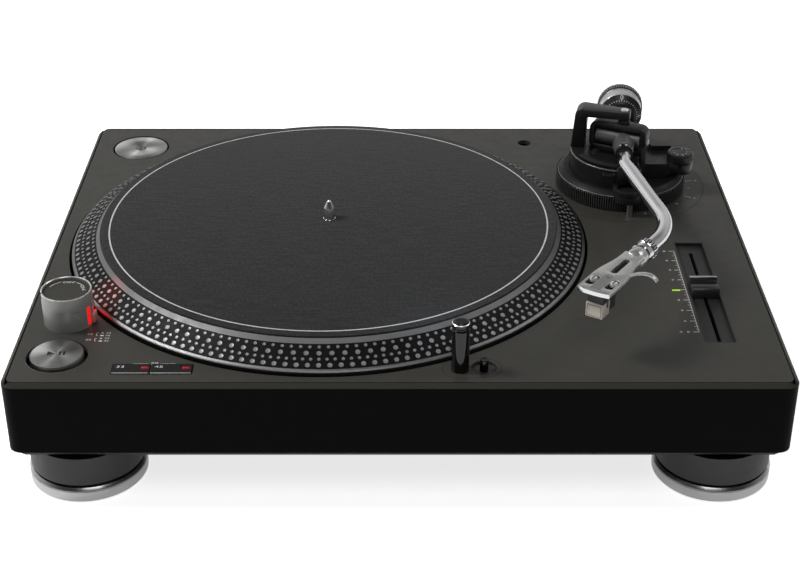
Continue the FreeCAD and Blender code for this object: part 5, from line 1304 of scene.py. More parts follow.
@dataclass
class StrobeTower(Assembly):
    """The strobe tower with the power dial round its top."""

    radius: float = 15.0
    low: float = 13.1
    top: float = 21.8
    face_r: float = 12.6
    face_z: float = 20.3
    seat_z: float = 18.2
    lens_turn: float = 22.0
    pointer_turn: float = 22.0

    def build(self) -> None:
        """Makes the tower's turned parts, its face and its lamp window."""
        place = at(*middle("power_dial"), 0)
        edge, rim, seat = self.radius, self.top, self.seat_z
        drum = Shape().lathe([(0, -7), (12, -7), (12, 0), (edge, 0), (edge, 13.0), (7, 13.0), (7, seat),
                              (0, seat)], 128)
        piece("tower_drum", drum.move(place), "cabinet", TOWER_METAL, replaces=["tower_base"],
              slot="dark_metal")
        dial = Shape().lathe([(7.05, self.low), (edge, self.low), (edge, rim - 0.5), (14.85, rim - 0.15),
                              (14.5, rim), (14.3, rim), (14.05, rim - 0.25), (14.0, self.face_z),
                              (self.face_r, 20.25), (self.face_r, 17.9), (7.05, 17.9)], 128)
        dial.paint(1, lambda spot: spot.z > rim - 0.55 and off_axis(spot) > 14.0)
        dial.paint(2, lambda spot: off_axis(spot) < 14.01 and spot.z > 20)
        # Painted shade: a dark block stands for the notch in the dial's side
        notch_shade = Shape().block(-15.04, -0.5, rim - 4.0, -14.1, 0.5, rim + 0.03).paint(3)
        dial.take(notch_shade.move(turn(self.pointer_turn)))
        piece("power_dial_ring", dial.move(place), "power_dial", TOWER_METAL, SATIN_CHROME, DIAL_FACE,
              LINE_SHADOW, replaces=["power_dial"], slot="dark_metal")
        face = Shape().slab(ring(self.face_r - 0.15, 96), seat, self.face_z)
        piece("dial_face_plate", face.move(place), "cabinet", DIAL_FACE, replaces=["dial_face"],
              slot="dark_metal")
        self.legend(place)
        self.window(place)

    def legend(self, place: Matrix) -> None:
        """Prints the face with its two words and the arcs between them.

        Args:
            place: The tower's place.
        """
        signs = Shape()
        for word, degrees in (("OFF", 0), ("ON", -68)):
            signs.words(word, 2.0, turn(degrees) @ Matrix.Translation((0, 9.8, 0)), 1.5)
        for radius, start, stop in ((10.6, 38, 66), (11.4, 112, 158)):
            signs.arc(radius, 0.4, 0, start=start, stop=stop)
        piece("dial_face_print", signs.move(place @ step(0, 0, self.face_z + PRINT_LIFT)), "cabinet",
              WHITE_INK)

    def window(self, place: Matrix) -> None:
        """Makes the lamp's window round the tower's side and the cover that swells to the platter.

        Args:
            place: The tower's place.
        """
        lens = Shape().slab([(12, -5), *ring(15.7, 12, 0, 0, -18.5, 18.5), (12, 5)], 1.4, 9.4)
        piece("strobe_lens", lens.move(place @ turn(self.lens_turn)), "cabinet", STROBE_GLOW,
              replaces=["strobe_window"], slot="red_clear")
        strip = Shape().slab(band(15.1, 14.6, -32, -20), 1.4, 12.9)
        piece("strobe_front_window", strip.move(place), "cabinet", FRONT_LENS)
        cover = Shape().slab(band(16.6, 14.6, -16, 8), 0.8, 6.6)
        piece("strobe_cover", cover.soften(0.7, 3, 40).move(place), "cabinet", PALE_LENS)


@dataclass
class DeckButtons(Assembly):
    """The start button, the speed keys and their lamps."""

    start_r: float = 15.5
    start_top: float = 1.8
    start_flat_r: float = 14.6
    keys: tuple[tuple[str, float], ...] = (("33", -145.2), ("45", -121.7))
    lamp_y: float = -158.5
    key_top: float = 0.8
    key_low: float = -2.6

    def build(self) -> None:
        """Makes the buttons."""
        self.start()
        for name, lamp_x in self.keys:
            self.key(name, lamp_x)
        self.lamps()

    def start(self) -> None:
        """Turns the start button and prints its signs."""
        node, edge, flat, top = "start_stop_button", self.start_r, self.start_flat_r, self.start_top
        place = at(*middle(node), 0)
        disc = Shape().lathe([(0, -14.6), (5, -14.6), (5, -3.6), (edge, -3.6), (edge, 1.1), (15.3, 1.5),
                              (flat, top), (0.35, top), (0, 1.75)], 128).spin_map()
        disc.paint(1, lambda spot: off_axis(spot) > flat and spot.z > 1.0)
        piece("start_disc", disc.move(place), node, SPUN_ALLOY_PAINTED_RAYS.around("spun_button_painted_rays", *middle(node)),
              POLISHED_RIM, replaces=[node], slot="spun_silver")
        signs = Shape().slab([(-5.4, 1.9), (-1.6, 4.1), (-5.4, 6.3)], 0, 0)
        for left in (1.4, 3.7):
            signs.slab(rectangle(left, 2.1, left + 1.3, 6.1), 0, 0)
        piece("start_signs", signs.move(place @ step(0, -4.1, top + PRINT_LIFT)), node, DARK_INK)

    def key(self, name: str, lamp_x: float) -> None:
        """Makes a speed key round its lamp, with its number.

        Args:
            name: The key's number.
            lamp_x: The middle of its lamp.
        """
        node = f"button_{name}"
        low, high = room(node).low, room(node).high
        outline = rounded(rectangle(low.x, low.y, high.x, high.y), 1.0)
        hole = rectangle(lamp_x - 2.3, self.lamp_y - 1.3, lamp_x + 2.3, self.lamp_y + 1.3)
        cap = Shape().slab(outline, DECK + self.key_low, DECK + self.key_top, [hole])
        cap.soften(0.45, 2, where=lambda spot: spot.z > DECK + 0.5)
        # Painted highlight: the cap's front edge is one bright line
        cap.paint(1, lambda spot: spot.y < low.y + 0.4 and spot.z > DECK + 0.3)
        stem = Shape().slab(ring(2.0, 24), -11.6, self.key_low).move(at(*middle(node), 0))
        piece(f"key_{name}", cap.take(stem), node, KEY_PLASTIC, KEY_HIGHLIGHT, replaces=[node],
              slot="black_plastic", sharp=20)
        label = Shape().words(name, 2.2, at(low.x + 4.6, -157.9, self.key_top + PRINT_LIFT), 1.6)
        piece(f"key_{name}_print", label, node, WHITE_INK)

    def lamps(self) -> None:
        """Makes the lenses of the keys' lamps and of the tempo lamp."""
        lenses = Shape()
        for _, x in self.keys:
            lenses.block(x - 2.1, self.lamp_y - 1.1, DECK - 14, x + 2.1, self.lamp_y + 1.1,
                         DECK + self.key_top)
        lenses.soften(0.2, 2, 60)
        tempo = Shape().block(168.0, -70.0, DECK - 7.2, 173.0, -68.2, DECK + 0.1).soften(0.15, 1, 60)
        piece("lamp_lenses", lenses.take(tempo.paint(1)), "cabinet", RED_LENS, GREEN_LENS,
              replaces=["indicator_lenses"])


@dataclass
class StylusLight(Assembly):
    """The pop-up light for the stylus and the button that lets it up."""

    def build(self) -> None:
        """Makes the bar, its lamp and the button."""
        place = at(*middle("target_light"), 0)
        bar = Shape().lathe([(0, -13.7), (5.1, -13.7), (5.1, 26.6), (4.75, 27.1), (4.3, 27.2), (4.3, 27.9),
                             (5.0, 29.0), (5.1, 29.3), (5.1, 30.9), (4.6, 31.3), (3.7, 31.4), (3.3, 31.8),
                             (0, 31.8)], 96)
        bar.paint(1, lambda spot: 30.9 < spot.z < 31.35 and off_axis(spot) > 3.9)
        piece("light_bar", bar.move(place), "target_light", GLOSS_PLASTIC, SATIN_CHROME,
              replaces=["target_light"], slot="gloss_black")
        lens = Shape().slab(band(4.46, 4.2, 60, 160, 24), 27.35, 27.85)
        piece("light_lens", lens.move(place), "target_light", TARGET_GLOW)
        knob = Shape().lathe([(0, -9.7), (2.45, -9.7), (2.45, 5.2), (2.3, 5.6), (1.9, 5.8), (1.2, 5.65),
                              (0, 5.6)], 48)
        knob.paint(1, lambda spot: spot.z > 5.3)
        piece("light_release", knob.move(at(*middle("light_button"), 0)), "light_button", GLOSS_PLASTIC,
              DARK_METAL, replaces=["light_button"], slot="gloss_black")


@dataclass
class TempoFader(Assembly):
    """The tempo fader's cap."""

    width: float = 16.8
    depth: float = 14.6
    low: float = -1.7
    high: float = 6.3

    def build(self) -> None:
        """Shapes the cap's section and runs it across."""
        half, high = self.depth / 2, self.high
        profile = [(-half, self.low), (half, self.low), (half, high - 0.9), (half - 0.5, high - 0.2),
                   (half - 1.1, high), (half - 2.3, high), (half - 3.0, high - 0.9),
                   (half - 4.2, high - 1.9), (0.4, high - 2.3), (-0.4, high - 2.0), (-1.4, high - 1.5),
                   (-half + 2.8, high - 1.2),
                   (-half + 1.4, high - 1.4), (-half + 0.4, high - 2.2), (-half, high - 3.4)]
        cap = Shape().slab(profile, -self.width / 2, self.width / 2).move(ALONG_X).soften(0.2, 2, 50)
        # Painted highlight: the crest of the back ridge is a pale bar
        cap.paint(1, lambda spot: spot.y > half - 2.5 and spot.z > high - 0.6)
        # Painted shade: the slope from the back ridge down into the valley of the grip is darker
        cap.paint(2, lambda spot: 0.5 < spot.y < half - 2.6 and spot.z > high - 2.4)
        cap.block(-0.8, -2.5, self.low - 9, 0.8, 2.5, self.low)
        piece("fader_cap", cap.move(at(*middle("fader_knob"), 0)), "fader_knob", FADER_PLASTIC, FADER_HIGHLIGHT,
              MATT_BLACK, replaces=["fader_knob"], slot="black_plastic")


@dataclass
class Adapter(Assembly):
    """The 45 rpm adapter in its well."""

    def build(self) -> None:
        """Turns the adapter."""
        node, bore, edge = "adapter_45", 3.6, 19.1
        disc = Shape().lathe([(bore, -10), (edge, -10), (edge, -0.6), (18.9, -0.2), (18.5, 0), (8.2, 0),
                              (7.9, -0.12), (4.3, -0.12), (3.9, -0.3), (bore, -0.8)], 128).spin_map()
        piece("adapter_disc", disc.move(at(*middle(node), 0)), node,
              SPUN_ALLOY_PAINTED_RAYS.around("spun_adapter_painted_rays", *middle(node)), replaces=[node], slot="spun_silver")


@dataclass
class ArmBase(Assembly):
    """The tonearm's turret, its ribbed height ring and the controls that it carries."""

    ribs: int = 168
    grip_r: float = 43.3
    turret_r: float = 35.3
    well_r: float = 22.0
    floor: float = 22.8
    top: float = 26.3
    notch: Point = (9.3, -16.8)
    step_y: float = 5.5
    rest_deg: float = -95.0
    rest_r: float = 37.0
    antiskate_spot: Point = (38.8, -9.5)
    antiskate_r: float = 8.8
    lifter_r: float = 31.8

    def build(self) -> None:
        """Makes the turret and all that stands on it."""
        self.height_ring()
        self.turret()
        self.arm_rest()
        self.antiskate()
        self.cueing()

    def height_ring(self) -> None:
        """Turns the height ring and cuts its grip."""
        edge = self.grip_r
        shape = Shape().lathe([(33.8, 0), (edge, 0), (edge, 10.4), (43.0, 10.9), (39.6, 13.6), (39.1, 13.8),
                               (35.6, 13.8), (35.6, 4.6), (33.8, 4.6)], 192)
        # Painted highlight: the chamfer above the grip is a thin grey line
        shape.paint(1, lambda spot: 10.41 < spot.z < 10.9 and off_axis(spot) > 42.9)
        rib = Shape().block(edge - 0.3, -0.42, 0.6, edge + 0.95, 0.42, 10.3).soften(0.2, 1, 60)
        rib.paint(2, lambda spot: spot.x > 44.0)
        shape.take(rib.repeat(self.ribs))
        piece("height_grip", shape.move(ARM_BASE), "height_ring", MATT_BLACK, EDGE_HIGHLIGHT, RIB_METAL,
              replaces=["height_ring"], slot="dark_metal")

    def turret(self) -> None:
        """Makes the turret with its notch for the lever and its step for the anti-skate arm."""
        outer, inner, floor, top = self.turret_r, self.well_r, self.floor, self.top
        notch_x, notch_y = self.notch
        body = Shape().lathe([(8, -23.7), (26, -23.7), (26, 4.9), (outer, 4.9), (outer, 12.3), (8, 12.3)],
                             128)
        # Where the notch's side and the step cut the outer and the inner circle, in degrees
        notch = 360 - math.degrees(math.acos(notch_x / outer))
        notch_inner = 360 - math.degrees(math.acos(notch_x / inner))
        notch_end = math.degrees(math.asin(notch_y / outer))
        stepped = math.degrees(math.asin(self.step_y / outer))
        stepped_inner = math.degrees(math.asin(self.step_y / inner))
        body.slab([*ring(outer, 96, 0, 0, notch_end, notch), self.notch], 12.3, floor)
        collar = ring(outer, 96, 0, 0, stepped, notch) + ring(inner, 72, 0, 0, notch_inner, stepped_inner)
        body.slab(collar, floor, floor + 1)
        rim = ring(outer, 72, 0, 0, 105, notch) + ring(inner, 54, 0, 0, notch_inner, 114)
        lip = Shape().slab(rim, floor + 1, top)
        body.take(lip.soften(0.7, 3, 30, where=lambda spot: spot.z > top - 0.1))
        corner = ring(outer, 8, 0, 0, stepped, 19.9) + ring(inner, 8, 0, 0, 33.1, stepped_inner)
        body.slab(corner, floor + 1, top)
        # Painted highlight: the rounded top edge of the lip is a thin grey line
        body.paint(1, lambda spot: 25.7 < spot.z < 26.25 and off_axis(spot) > 34.6)
        piece("arm_turret", body.move(ARM_BASE), "arm_base", DARK_METAL, EDGE_HIGHLIGHT,
              replaces=["arm_base"], slot="dark_metal")

    def arm_rest(self) -> None:
        """Makes the dished nose, the saddle and the open clip."""
        left, right, front, back = -9.7, 8.8, -52.5, -33.2
        nose_r, dish_r = 9.25, 7.0
        middle_x = (left + right) / 2
        nose = ring(nose_r, 24, middle_x, front + nose_r, 180, 360)
        outline = [*nose, (right, back), (left, back)]
        rest = Shape().slab([*nose, (right, -44.9), (left, -44.9)], 9.1, 13.9).soften(0.4, 2, 40)
        shelf = Shape().slab(outline, 13.9, 16.1)
        rim = Shape().slab(outline, 16.1, 18.1, [ring(dish_r, 32, middle_x, front + nose_r)])
        rim.soften(0.5, 2, 50, where=lambda spot: spot.z > 18)
        x = math.cos(math.radians(self.rest_deg)) * self.rest_r
        y = math.sin(math.radians(self.rest_deg)) * self.rest_r
        cradle = [(-4.5, 18.1), (-4.5, 28.4), (-4.0, 29), (4.2, 29), (4.8, 27.4), (7.7, 27.0), (7.7, 31.6),
                  (8.3, 32.8), (9.4, 33), (9.7, 32.6), (9.7, 18.1)]
        saddle = Shape().slab(cradle, -2.5, 2.5).move(step(x, y, 0) @ ALONG_Y).soften(0.4, 2, 40)
        rest.take(shelf).take(rim).take(saddle)
        piece("arm_rest", rest.move(ARM_BASE), "arm_base", SATIN_PLASTIC, replaces=["lifter_bracket"],
              slot="dark_metal")
        clip = Shape().slab([(0, -0.75), (0.3, 0.75), (-6.6, 0.75), (-7.0, 1.6), (-7.8, 1.6), (-8, 1.3),
                             (-8, -0.5), (-7.7, -0.75)], -2.2, 2.2).move(ALONG_Y).soften(0.25, 2, 40)
        hinge_r, gap = 1.1, 0.3
        hinge = Shape().slab(ring(hinge_r, 20), -2.2, 2.2).move(ALONG_Y)
        place = ARM_BASE @ step(x - 4.5 - hinge_r - gap, y, 24)
        piece("rest_clip_arm", clip.take(hinge).move(place), "rest_clip", SATIN_PLASTIC,
              replaces=["rest_clip"], slot="black_plastic")

    def antiskate(self) -> None:
        """Makes the anti-skate arm and its numbered dial."""
        (x, y), edge = self.antiskate_spot, self.antiskate_r
        plate = [(22, -16.2), (x - 2, -16.2), *ring(edge, 24, x, y, -88, 66), (x - 8, self.step_y),
                 (22, self.step_y)]
        arm = Shape().slab(plate, 14.8, 22.5).soften(0.5, 2, 40)
        piece("antiskate_arm", arm.move(ARM_BASE), "arm_base", DARK_METAL, replaces=["antiskate_bracket"],
              slot="dark_metal")
        place = ARM_BASE @ step(x, y, self.floor)
        dial = Shape().lathe([(0, -4.7), (3, -4.7), (3, 0), (8.7, 0), (edge, 0.2), (edge, 5.2), (8.5, 5.8),
                              (7.9, 6), (6.4, 6), (6.1, 5.7), (0, 5.7)], 96)
        dial.take(Shape().block(8.6, -0.18, 0.8, 8.95, 0.18, 4.8).repeat(60))
        piece("antiskate_knob", dial.move(place), "antiskate_dial", DARK_METAL,
              replaces=["antiskate_dial"], slot="dark_metal")
        marks = Shape()
        for number in range(8):
            mark = Shape().words(str(number), 1.5, Matrix.Translation((0, 4.7, 0)))
            marks.take(mark.stroke((0, 6.6), (0, 7.6), 0.25, 0).move(turn(-38 * number - 20)))
        piece("antiskate_print", marks.move(place @ step(0, 0, 6 + PRINT_LIFT)), "antiskate_dial", INK)

    def cueing(self) -> None:
        """Makes the cue lever and the curved lifter."""
        side = [(-2.7, -2.2), (-2.2, -2.7), (2.2, -2.7), (2.7, -2.2), (2.7, 15.0), (-2.7, 17.6)]
        lever = Shape().slab(side, 0, 3.6).move(ALONG_X).soften(0.4, 2, 40)
        pin = Shape().slab(ring(1.4, 16), -3.7, 0).move(ALONG_X)
        place = ARM_BASE @ step(self.notch[0] + 0.1, -21, 20.2)
        piece("cue_handle", lever.take(pin).move(place), "cue_lever", DARK_METAL, replaces=["cue_lever"],
              slot="dark_metal")
        low, high, half = 26.9, 28.9, 2.0
        bow = band(self.lifter_r + half, self.lifter_r - half, 204, 274, 36)
        bar = Shape().slab(bow, low, high).soften(0.5, 2, 40)
        post = Shape().slab(ring(2.2, 24), 15.9, low)
        bar.take(post.move(Matrix.Translation(turn(252) @ Vector((self.lifter_r, 0, 0)))))
        piece("lifter_bow", bar.move(ARM_BASE), "lifter_bar", RUBBERED, replaces=["lifter_bar"],
              slot="dark_plastic")


@dataclass
class Gimbal(Assembly):
    """The yoke, the gimbal ring and the arm's bearing block."""

    bridge_top: float = 55.3
    tube_r: float = 4.8
    threads: int = 58

    def build(self) -> None:
        """Makes the three."""
        self.yoke()
        self.ring()
        self.block()

    def yoke(self) -> None:
        """Bends the yoke over the gimbal and sets its pivot screw."""
        side = [(-35.9, 18.6), (-33.0, 18.6), (-33.0, 26.3), (-26.0, 26.3), (-25.4, 47.6), (-24.9, 48.6),
                (-24.0, 49), (4, 49), (4, self.bridge_top), *ring(6, 9, -27.4, 49.3, 90, 180)]
        bridge = Shape().slab(side, -3.6, 9.4).move(ALONG_Y)
        # The bridge is narrower where it ends over the pivot than at its foot
        cut = [v for v in bridge.bm.verts if v.co.y > 9 and v.co.x > 0]
        bmesh.ops.translate(bridge.bm, verts=cut, vec=(0, -5.4, 0))
        # Painted light: the top face of the bridge is paler than its sides
        bridge.soften(0.9, 3, 40).paint(1, lambda spot: spot.z > self.bridge_top - 0.7)
        cup = Shape().lathe([(0, 44.6), (1.6, 44.6), (1.6, 46.1), (4, 46.1), (4, 49), (0, 49)], 48)
        screw = Shape().lathe([(0, 55.2), (2.65, 55.2), (2.65, 55.9), (2.4, 56.1), (0, 56.1)], 48)
        bridge.take(cup).take(screw.paint(2))
        piece("yoke_bridge", bridge.move(YOKE), "arm_base", DARK_METAL, YOKE_LIT_TOP, SATIN_CHROME,
              replaces=["yoke"], slot="dark_metal")

    def ring(self) -> None:
        """Makes the rounded square ring with its side screws."""
        outside = rounded(rectangle(-22.8, -10, 17.8, 11), 6, 8)
        inside = rounded(rectangle(-18.8, -6, 13.8, 7), 1.2, 4)
        loop = Shape().slab(outside, -4.85, 4.85, [inside]).move(ALONG_Y).soften(0.8, 3, 60)
        screw = Shape().lathe([(0, 14.0), (2.2, 14.0), (2.2, 18.2), (2.0, 18.4), (0.7, 18.4), (0.5, 18.1),
                               (0, 18.1)], 32).paint(2)
        other = Shape().take(screw.bm.copy()).move(turn(-90, "Y") @ step(0, 0, 5))
        loop.take(screw.move(TURN_TO_X)).take(other)
        piece("gimbal_frame", loop.move(GIMBAL), "gimbal", SATIN_PLASTIC, EDGE_HIGHLIGHT, SATIN_CHROME,
              replaces=["gimbal_ring"], slot="dark_metal")

    def block(self) -> None:
        """Turns the level barrel, the nose cone and the threaded rear shaft."""
        level = PIVOT.inverted() @ GIMBAL @ TURN_TO_X
        along = PIVOT.inverted() @ ARM @ TURN_TO_X
        barrel = Shape().lathe([(0, -18.4), (5.1, -18.4), (5.5, -18), (5.5, 13), (5.1, 13.4), (0, 13.4)],
                               64)
        bright, dark, tube = 23.35, 26.85, self.tube_r
        nose = Shape().lathe([(0, -4), (5, -4), (5, 4), (5.8, 7.4), (6.6, 10.5), (7.2, 12.6), (7.35, 13.4),
                              (7.2, 14.2), (6.25, 22.8), (5.8, 23.2), (5.4, 23.3), (5.4, 23.4), (5.6, 23.5),
                              (5.6, 26.6), (5.4, 26.8), (5.7, 26.9), (5.8, 27.2), (5.7, 29.0), (5.4, 29.3),
                              (tube + 0.02, 29.4), (tube + 0.02, 35), (tube, 35), (tube, 19), (0, 19)], 64)
        nose.paint(1, lambda spot: bright < spot.z < dark).paint(2, lambda spot: spot.z > dark)
        thread = [(0, -66), (4.4, -66)]
        for groove in range(self.threads):
            thread += [(5.0, -65.6 + groove), (4.75, -65.1 + groove)]
        shaft = Shape().lathe([*thread, (5, -7), (5, -4), (0, -4)], 32).paint(1)
        barrel.move(level).take(nose.move(along)).take(shaft.move(along))
        piece("bearing_block", barrel.move(PIVOT), "tonearm", GREY_ALLOY, CHROME, MATT_BLACK,
              replaces=["pivot_block"], slot="satin_grey")


@dataclass
class Arm(Assembly):
    """The bent tube, the locking nut, the headshell and the cartridge."""

    runs: tuple[tuple[float, float], ...] = ((20.61, 0), (40, 14.5), (69.81, 0), (60, -42.3), (21.79, 0))
    tube_r: float = 4.75
    teeth: int = 24
    plate_top: float = 4.4
    plate_low: float = 1.8
    plate_floor: float = 0.8
    front_x: float = 107.6
    front_bow: float = 0.9
    half_width: float = 10.1
    lift_x: float = 79.0
    screw_x: float = 93.1
    screw_y: float = 6.35

    def build(self) -> None:
        """Makes the parts from the nose to the stylus."""
        tube = Shape().pipe(self.tube_r, self.runs, 48)
        piece("arm_pipe", tube.move(ARM @ step(19, 0, 0)), "tonearm", CHROME, replaces=["arm_tube"],
              slot="chrome_tube")
        self.nut()
        self.shell()
        self.screws()
        self.cartridge()

    def nut(self) -> None:
        """Turns the nut that locks the headshell, with its knurled half behind."""
        shape = Shape().lathe([(4.8, 33), (5.8, 33), (6.1, 33.4), (6.1, 38.4), (5.7, 38.8), (5.7, 39.4),
                               (6.3, 39.8), (6.6, 40.2), (6.6, 44.3), (6.1, 45), (4.8, 45)], 64)
        # Painted shade: the knurl's floor between the chrome teeth is dark
        shape.paint(1, lambda spot: 33.5 < spot.z < 38.2)
        tooth = Shape().block(5.9, -0.45, 33.6, 6.6, 0.45, 38.3).soften(0.15, 1, 60)
        shape.take(tooth.repeat(self.teeth))
        piece("shell_nut", shape.move(HEAD @ TURN_TO_X), "locking_nut", CHROME, LINE_SHADOW,
              replaces=["locking_nut"], slot="chrome")

    def shell(self) -> None:
        """Shapes the headshell's plate, its slots, its collar and the finger lift."""
        low, floor, top = self.plate_low, self.plate_low + self.plate_floor, self.plate_top
        wide = self.half_width
        side = [(52.0, 6.25), (56, 6.3), (60, 6.4), (63.5, 6.65), (66.5, 7.05), (70, 7.7), (74, 8.5),
                (78, 9.3), (82, 9.8), (86.7, wide), (106.2, wide), (106.6, 9.8)]
        bow = [(self.front_x - self.front_bow * (y / wide) ** 2, y) for y in (7, 3.5, 0, -3.5, -7)]
        outline = [(x, -y) for x, y in side] + bow[::-1] + side[::-1]
        holes = [rounded(rectangle(61.5, -2.0, 81.5, 2.0), 1.9, 6), ring(1.0, 20, 87.5, 0)]
        sunk = [rounded(rectangle(88.9, y - 2.55, 100.9, y + 2.55), 2.0, 6) for y in (-6.1, 6.1)]
        slots = [rounded(rectangle(89.5, y - 1.3, 100.5, y + 1.3), 1.25, 6)
                 for y in (-self.screw_y, self.screw_y)]
        plate = Shape().slab(outline, floor, top, holes + sunk)
        plate.soften(0.5, 3, 50, where=lambda spot: spot.z > top - 0.1)
        under = Shape().slab(outline, low, floor, holes + slots)
        # Painted shade: the floor of the sunk recesses round the screw slots is dark
        plate.take(under.paint(1, lambda spot: spot.z > floor - 0.1))
        plate.paint(2, lambda spot: spot.x > 106.4 and spot.z < top - 0.3)
        # Painted shade: a dark sheet lies under the long slot
        plate.take(Shape().slab(rectangle(61, -2.4, 82, 2.4), low, low + 0.3).paint(1))
        collar = Shape().lathe([(0, 36), (3.6, 36), (3.6, 45.4), (5.6, 45.4), (6.1, 45.7), (6.25, 46.2),
                                (6.25, 51.5), (5.9, 52.6), (5.0, 53), (0, 53)], 64).move(TURN_TO_X)
        plate.take(collar).take(self.finger_lift())
        piece("headshell_plate", plate.move(HEAD), "headshell", SHELL_ALLOY, LINE_SHADOW, CHROME,
              replaces=["headshell"], slot="shell_silver")
        self.panel(top + PRINT_LIFT / 2)

    def panel(self, z: float) -> None:
        """Lays the etched panel on the headshell.

        Args:
            z: Its height.
        """
        half = [(84.6, 1.8), (88.9, 3.2), (104.5, 3.2)]
        outline = [(x, -y) for x, y in half] + half[::-1]
        inlay = Shape().slab(outline, z, z, [ring(1.25, 20, 87.5, 0)])
        piece("headshell_panel", inlay.move(HEAD), "headshell", SHELL_PANEL)

    def finger_lift(self) -> Shape:
        """Bends the finger lift out of the shell's side, wide at its root and narrow at its tip.

        Returns:
            The lift, from the headshell's place.
        """
        under = [(7.1, 3.0), (9.6, 3.2), (11.6, 4.4), (13.6, 6.0), (16.0, 7.1), (18.2, 7.4), (20.2, 6.6),
                 (21.4, 5.4), (21.9, 4.5)]
        over = [(22.0, 5.5), (21.6, 6.6), (20.6, 7.9), (18.6, 8.8), (16.0, 8.5), (13.2, 7.3), (11.0, 5.6),
                (9.4, 4.4), (7.1, 4.3)]
        lift = Shape().slab(under + over, -1.5, 1.5).move(ALONG_X)
        narrow_y, stretch_y = 14.0, 12.0
        for vert in lift.bm.verts:
            root = max(0.0, (narrow_y - vert.co.y) / 7)
            vert.co.x = self.lift_x + vert.co.x * (0.95 + 0.75 * root * root) - 0.6 * root
            vert.co.y += 0.45 * max(0.0, vert.co.y - stretch_y)
        return lift.soften(0.3, 2, 40)

    def screws(self) -> None:
        """Makes the two slotted screws in their slots."""
        shape, x, stem_r = Shape(), self.screw_x, 1.15
        for y in (-self.screw_y, self.screw_y):
            head = Shape().lathe([(0, 0.2), (stem_r, 0.2), (stem_r, 2.7), (2.1, 2.7), (2.25, 2.9),
                                  (2.25, 4.5), (1.9, 5.1), (0, 5.2)], 32)
            # Painted shade: a dark block stands for the slot in each screw's head
            notch = Shape().block(x - 1.8, y - 0.32, 4.7, x + 1.8, y + 0.32, 5.25)
            stem = Shape().slab(ring(stem_r, 20, x, y), -1.2, 0.3)
            shape.take(head.move(step(x, y, 0))).take(stem).take(notch.paint(1))
        piece("shell_screws", shape.move(HEAD), "headshell", SATIN_CHROME, LINE_SHADOW,
              replaces=["cartridge_screws"], slot="chrome")

    def cartridge(self) -> None:
        """Makes the pickup: a black mount, a pale body with painted shade in the groove round its front,
        and the stylus.
        """
        mount = Shape().block(86.5, -8.6, -1.2, 101.7, 8.6, self.plate_low).soften(0.3, 2, 50)
        mount.block(86.9, -4.9, -6, 102.4, 4.9, -1.2)
        mount.block(101.9, 7.0, -6.4, 102.6, 7.8, 1.2)
        mount.block(86.5, -4.9, -13.0, 94.2, 4.9, -6.0)
        body = Shape().block(94.2, -5.25, -14.4, 103.7, 5.25, -5.6)
        front = [f for f in body.bm.faces if f.normal.x > 0.9]
        bmesh.ops.inset_individual(body.bm, faces=front, thickness=0.9, depth=-0.3)
        body.soften(0.3, 2, 50).paint(1)
        needle = Shape().slab([(95.5, -12.4), (95.5, -13.9), (101.3, -15.1), (101.7, -15.6), (102.1, -15.1),
                               (102.1, -13.4), (101.0, -12.4)], -0.4, 0.4).move(ALONG_Y).paint(2)
        # Painted shade: dark lines mark the groove round the front of the body
        lines, corners = Shape(), rectangle(-4.3, -13.5, 4.3, -6.7)
        for start, end in zip(corners, corners[1:] + corners[:1]):
            lines.stroke(start, end, 0.3, 103.78)
        mount.take(body).take(needle).take(lines.move(ALONG_X).paint(3))
        piece("pickup", mount.move(HEAD), "headshell", SATIN_PLASTIC, CARTRIDGE_GREY, SATIN_CHROME,
              CARTRIDGE_GROOVE_SHADE, replaces=["cartridge"], slot="cartridge_grey")


@dataclass
class Weights(Assembly):
    """The counterweight and its numbered dial."""

    bore_r: float = 7.05
    weight_r: float = 15.5
    ribs: int = 60
    marks: int = 40

    def build(self) -> None:
        """Turns both and prints the dial."""
        bore, edge = self.bore_r, self.weight_r
        weight = Shape().lathe([(bore, -63), (15.3, -63), (edge, -62.7), (edge, -55.8), (15.2, -55.5),
                                (15.2, -55.3), (15.0, -55.1), (15.0, -44.6), (14.4, -44), (bore, -44)], 128)
        weight.paint(1, lambda spot: spot.z < -55.2)
        rib = Shape().block(edge - 0.2, -0.4, -62.5, edge + 0.55, 0.4, -56.0).paint(2)
        weight.take(rib.repeat(self.ribs)).spin_map()
        piece("weight_turned", weight.move(ARM @ TURN_TO_X), "counterweight", WEIGHT_METAL, MATT_BLACK,
              WEIGHT_RIB, replaces=["counterweight"], slot="light_alloy")
        dial = Shape().lathe([(bore, -43.6), (14.7, -43.6), (14.9, -43.4), (14.8, -43.1), (9.6, -39.1),
                              (9.2, -38.9), (bore, -38.9)], 96)
        piece("force_ring", dial.move(ARM @ TURN_TO_X), "force_dial", DARK_METAL, replaces=["force_dial"],
              slot="dark_metal")
        self.numbers()

    def numbers(self) -> None:
        """Prints the dial's cone: its marks, longer at every fifth, and four numbers."""
        rings = Shape()
        lean = math.degrees(math.atan2(14.9 - 9.5, 43.5 - 39.0))
        face = step(-12.7, 0, -41.24, ("Y", 90 + lean))
        for number in range(self.marks):
            mark = Shape().stroke((-2.0, 0), (-0.8 if number % 5 == 0 else -1.2, 0), 0.42, 0)
            if number % 10 == 0:
                mark.words(str(number // 10), 3.3, Matrix.Translation((0.9, 0, 0)) @ turn(-90))
            rings.take(mark.move(turn(360 * number / self.marks) @ face @ step(0, 0, -PRINT_LIFT)))
        piece("force_print", rings.move(ARM @ TURN_TO_X), "force_dial", WHITE_INK)

    def dress(self) -> None:
        """Dresses the bush inside the weight."""
        dress(STEEL, "weight_sleeve")


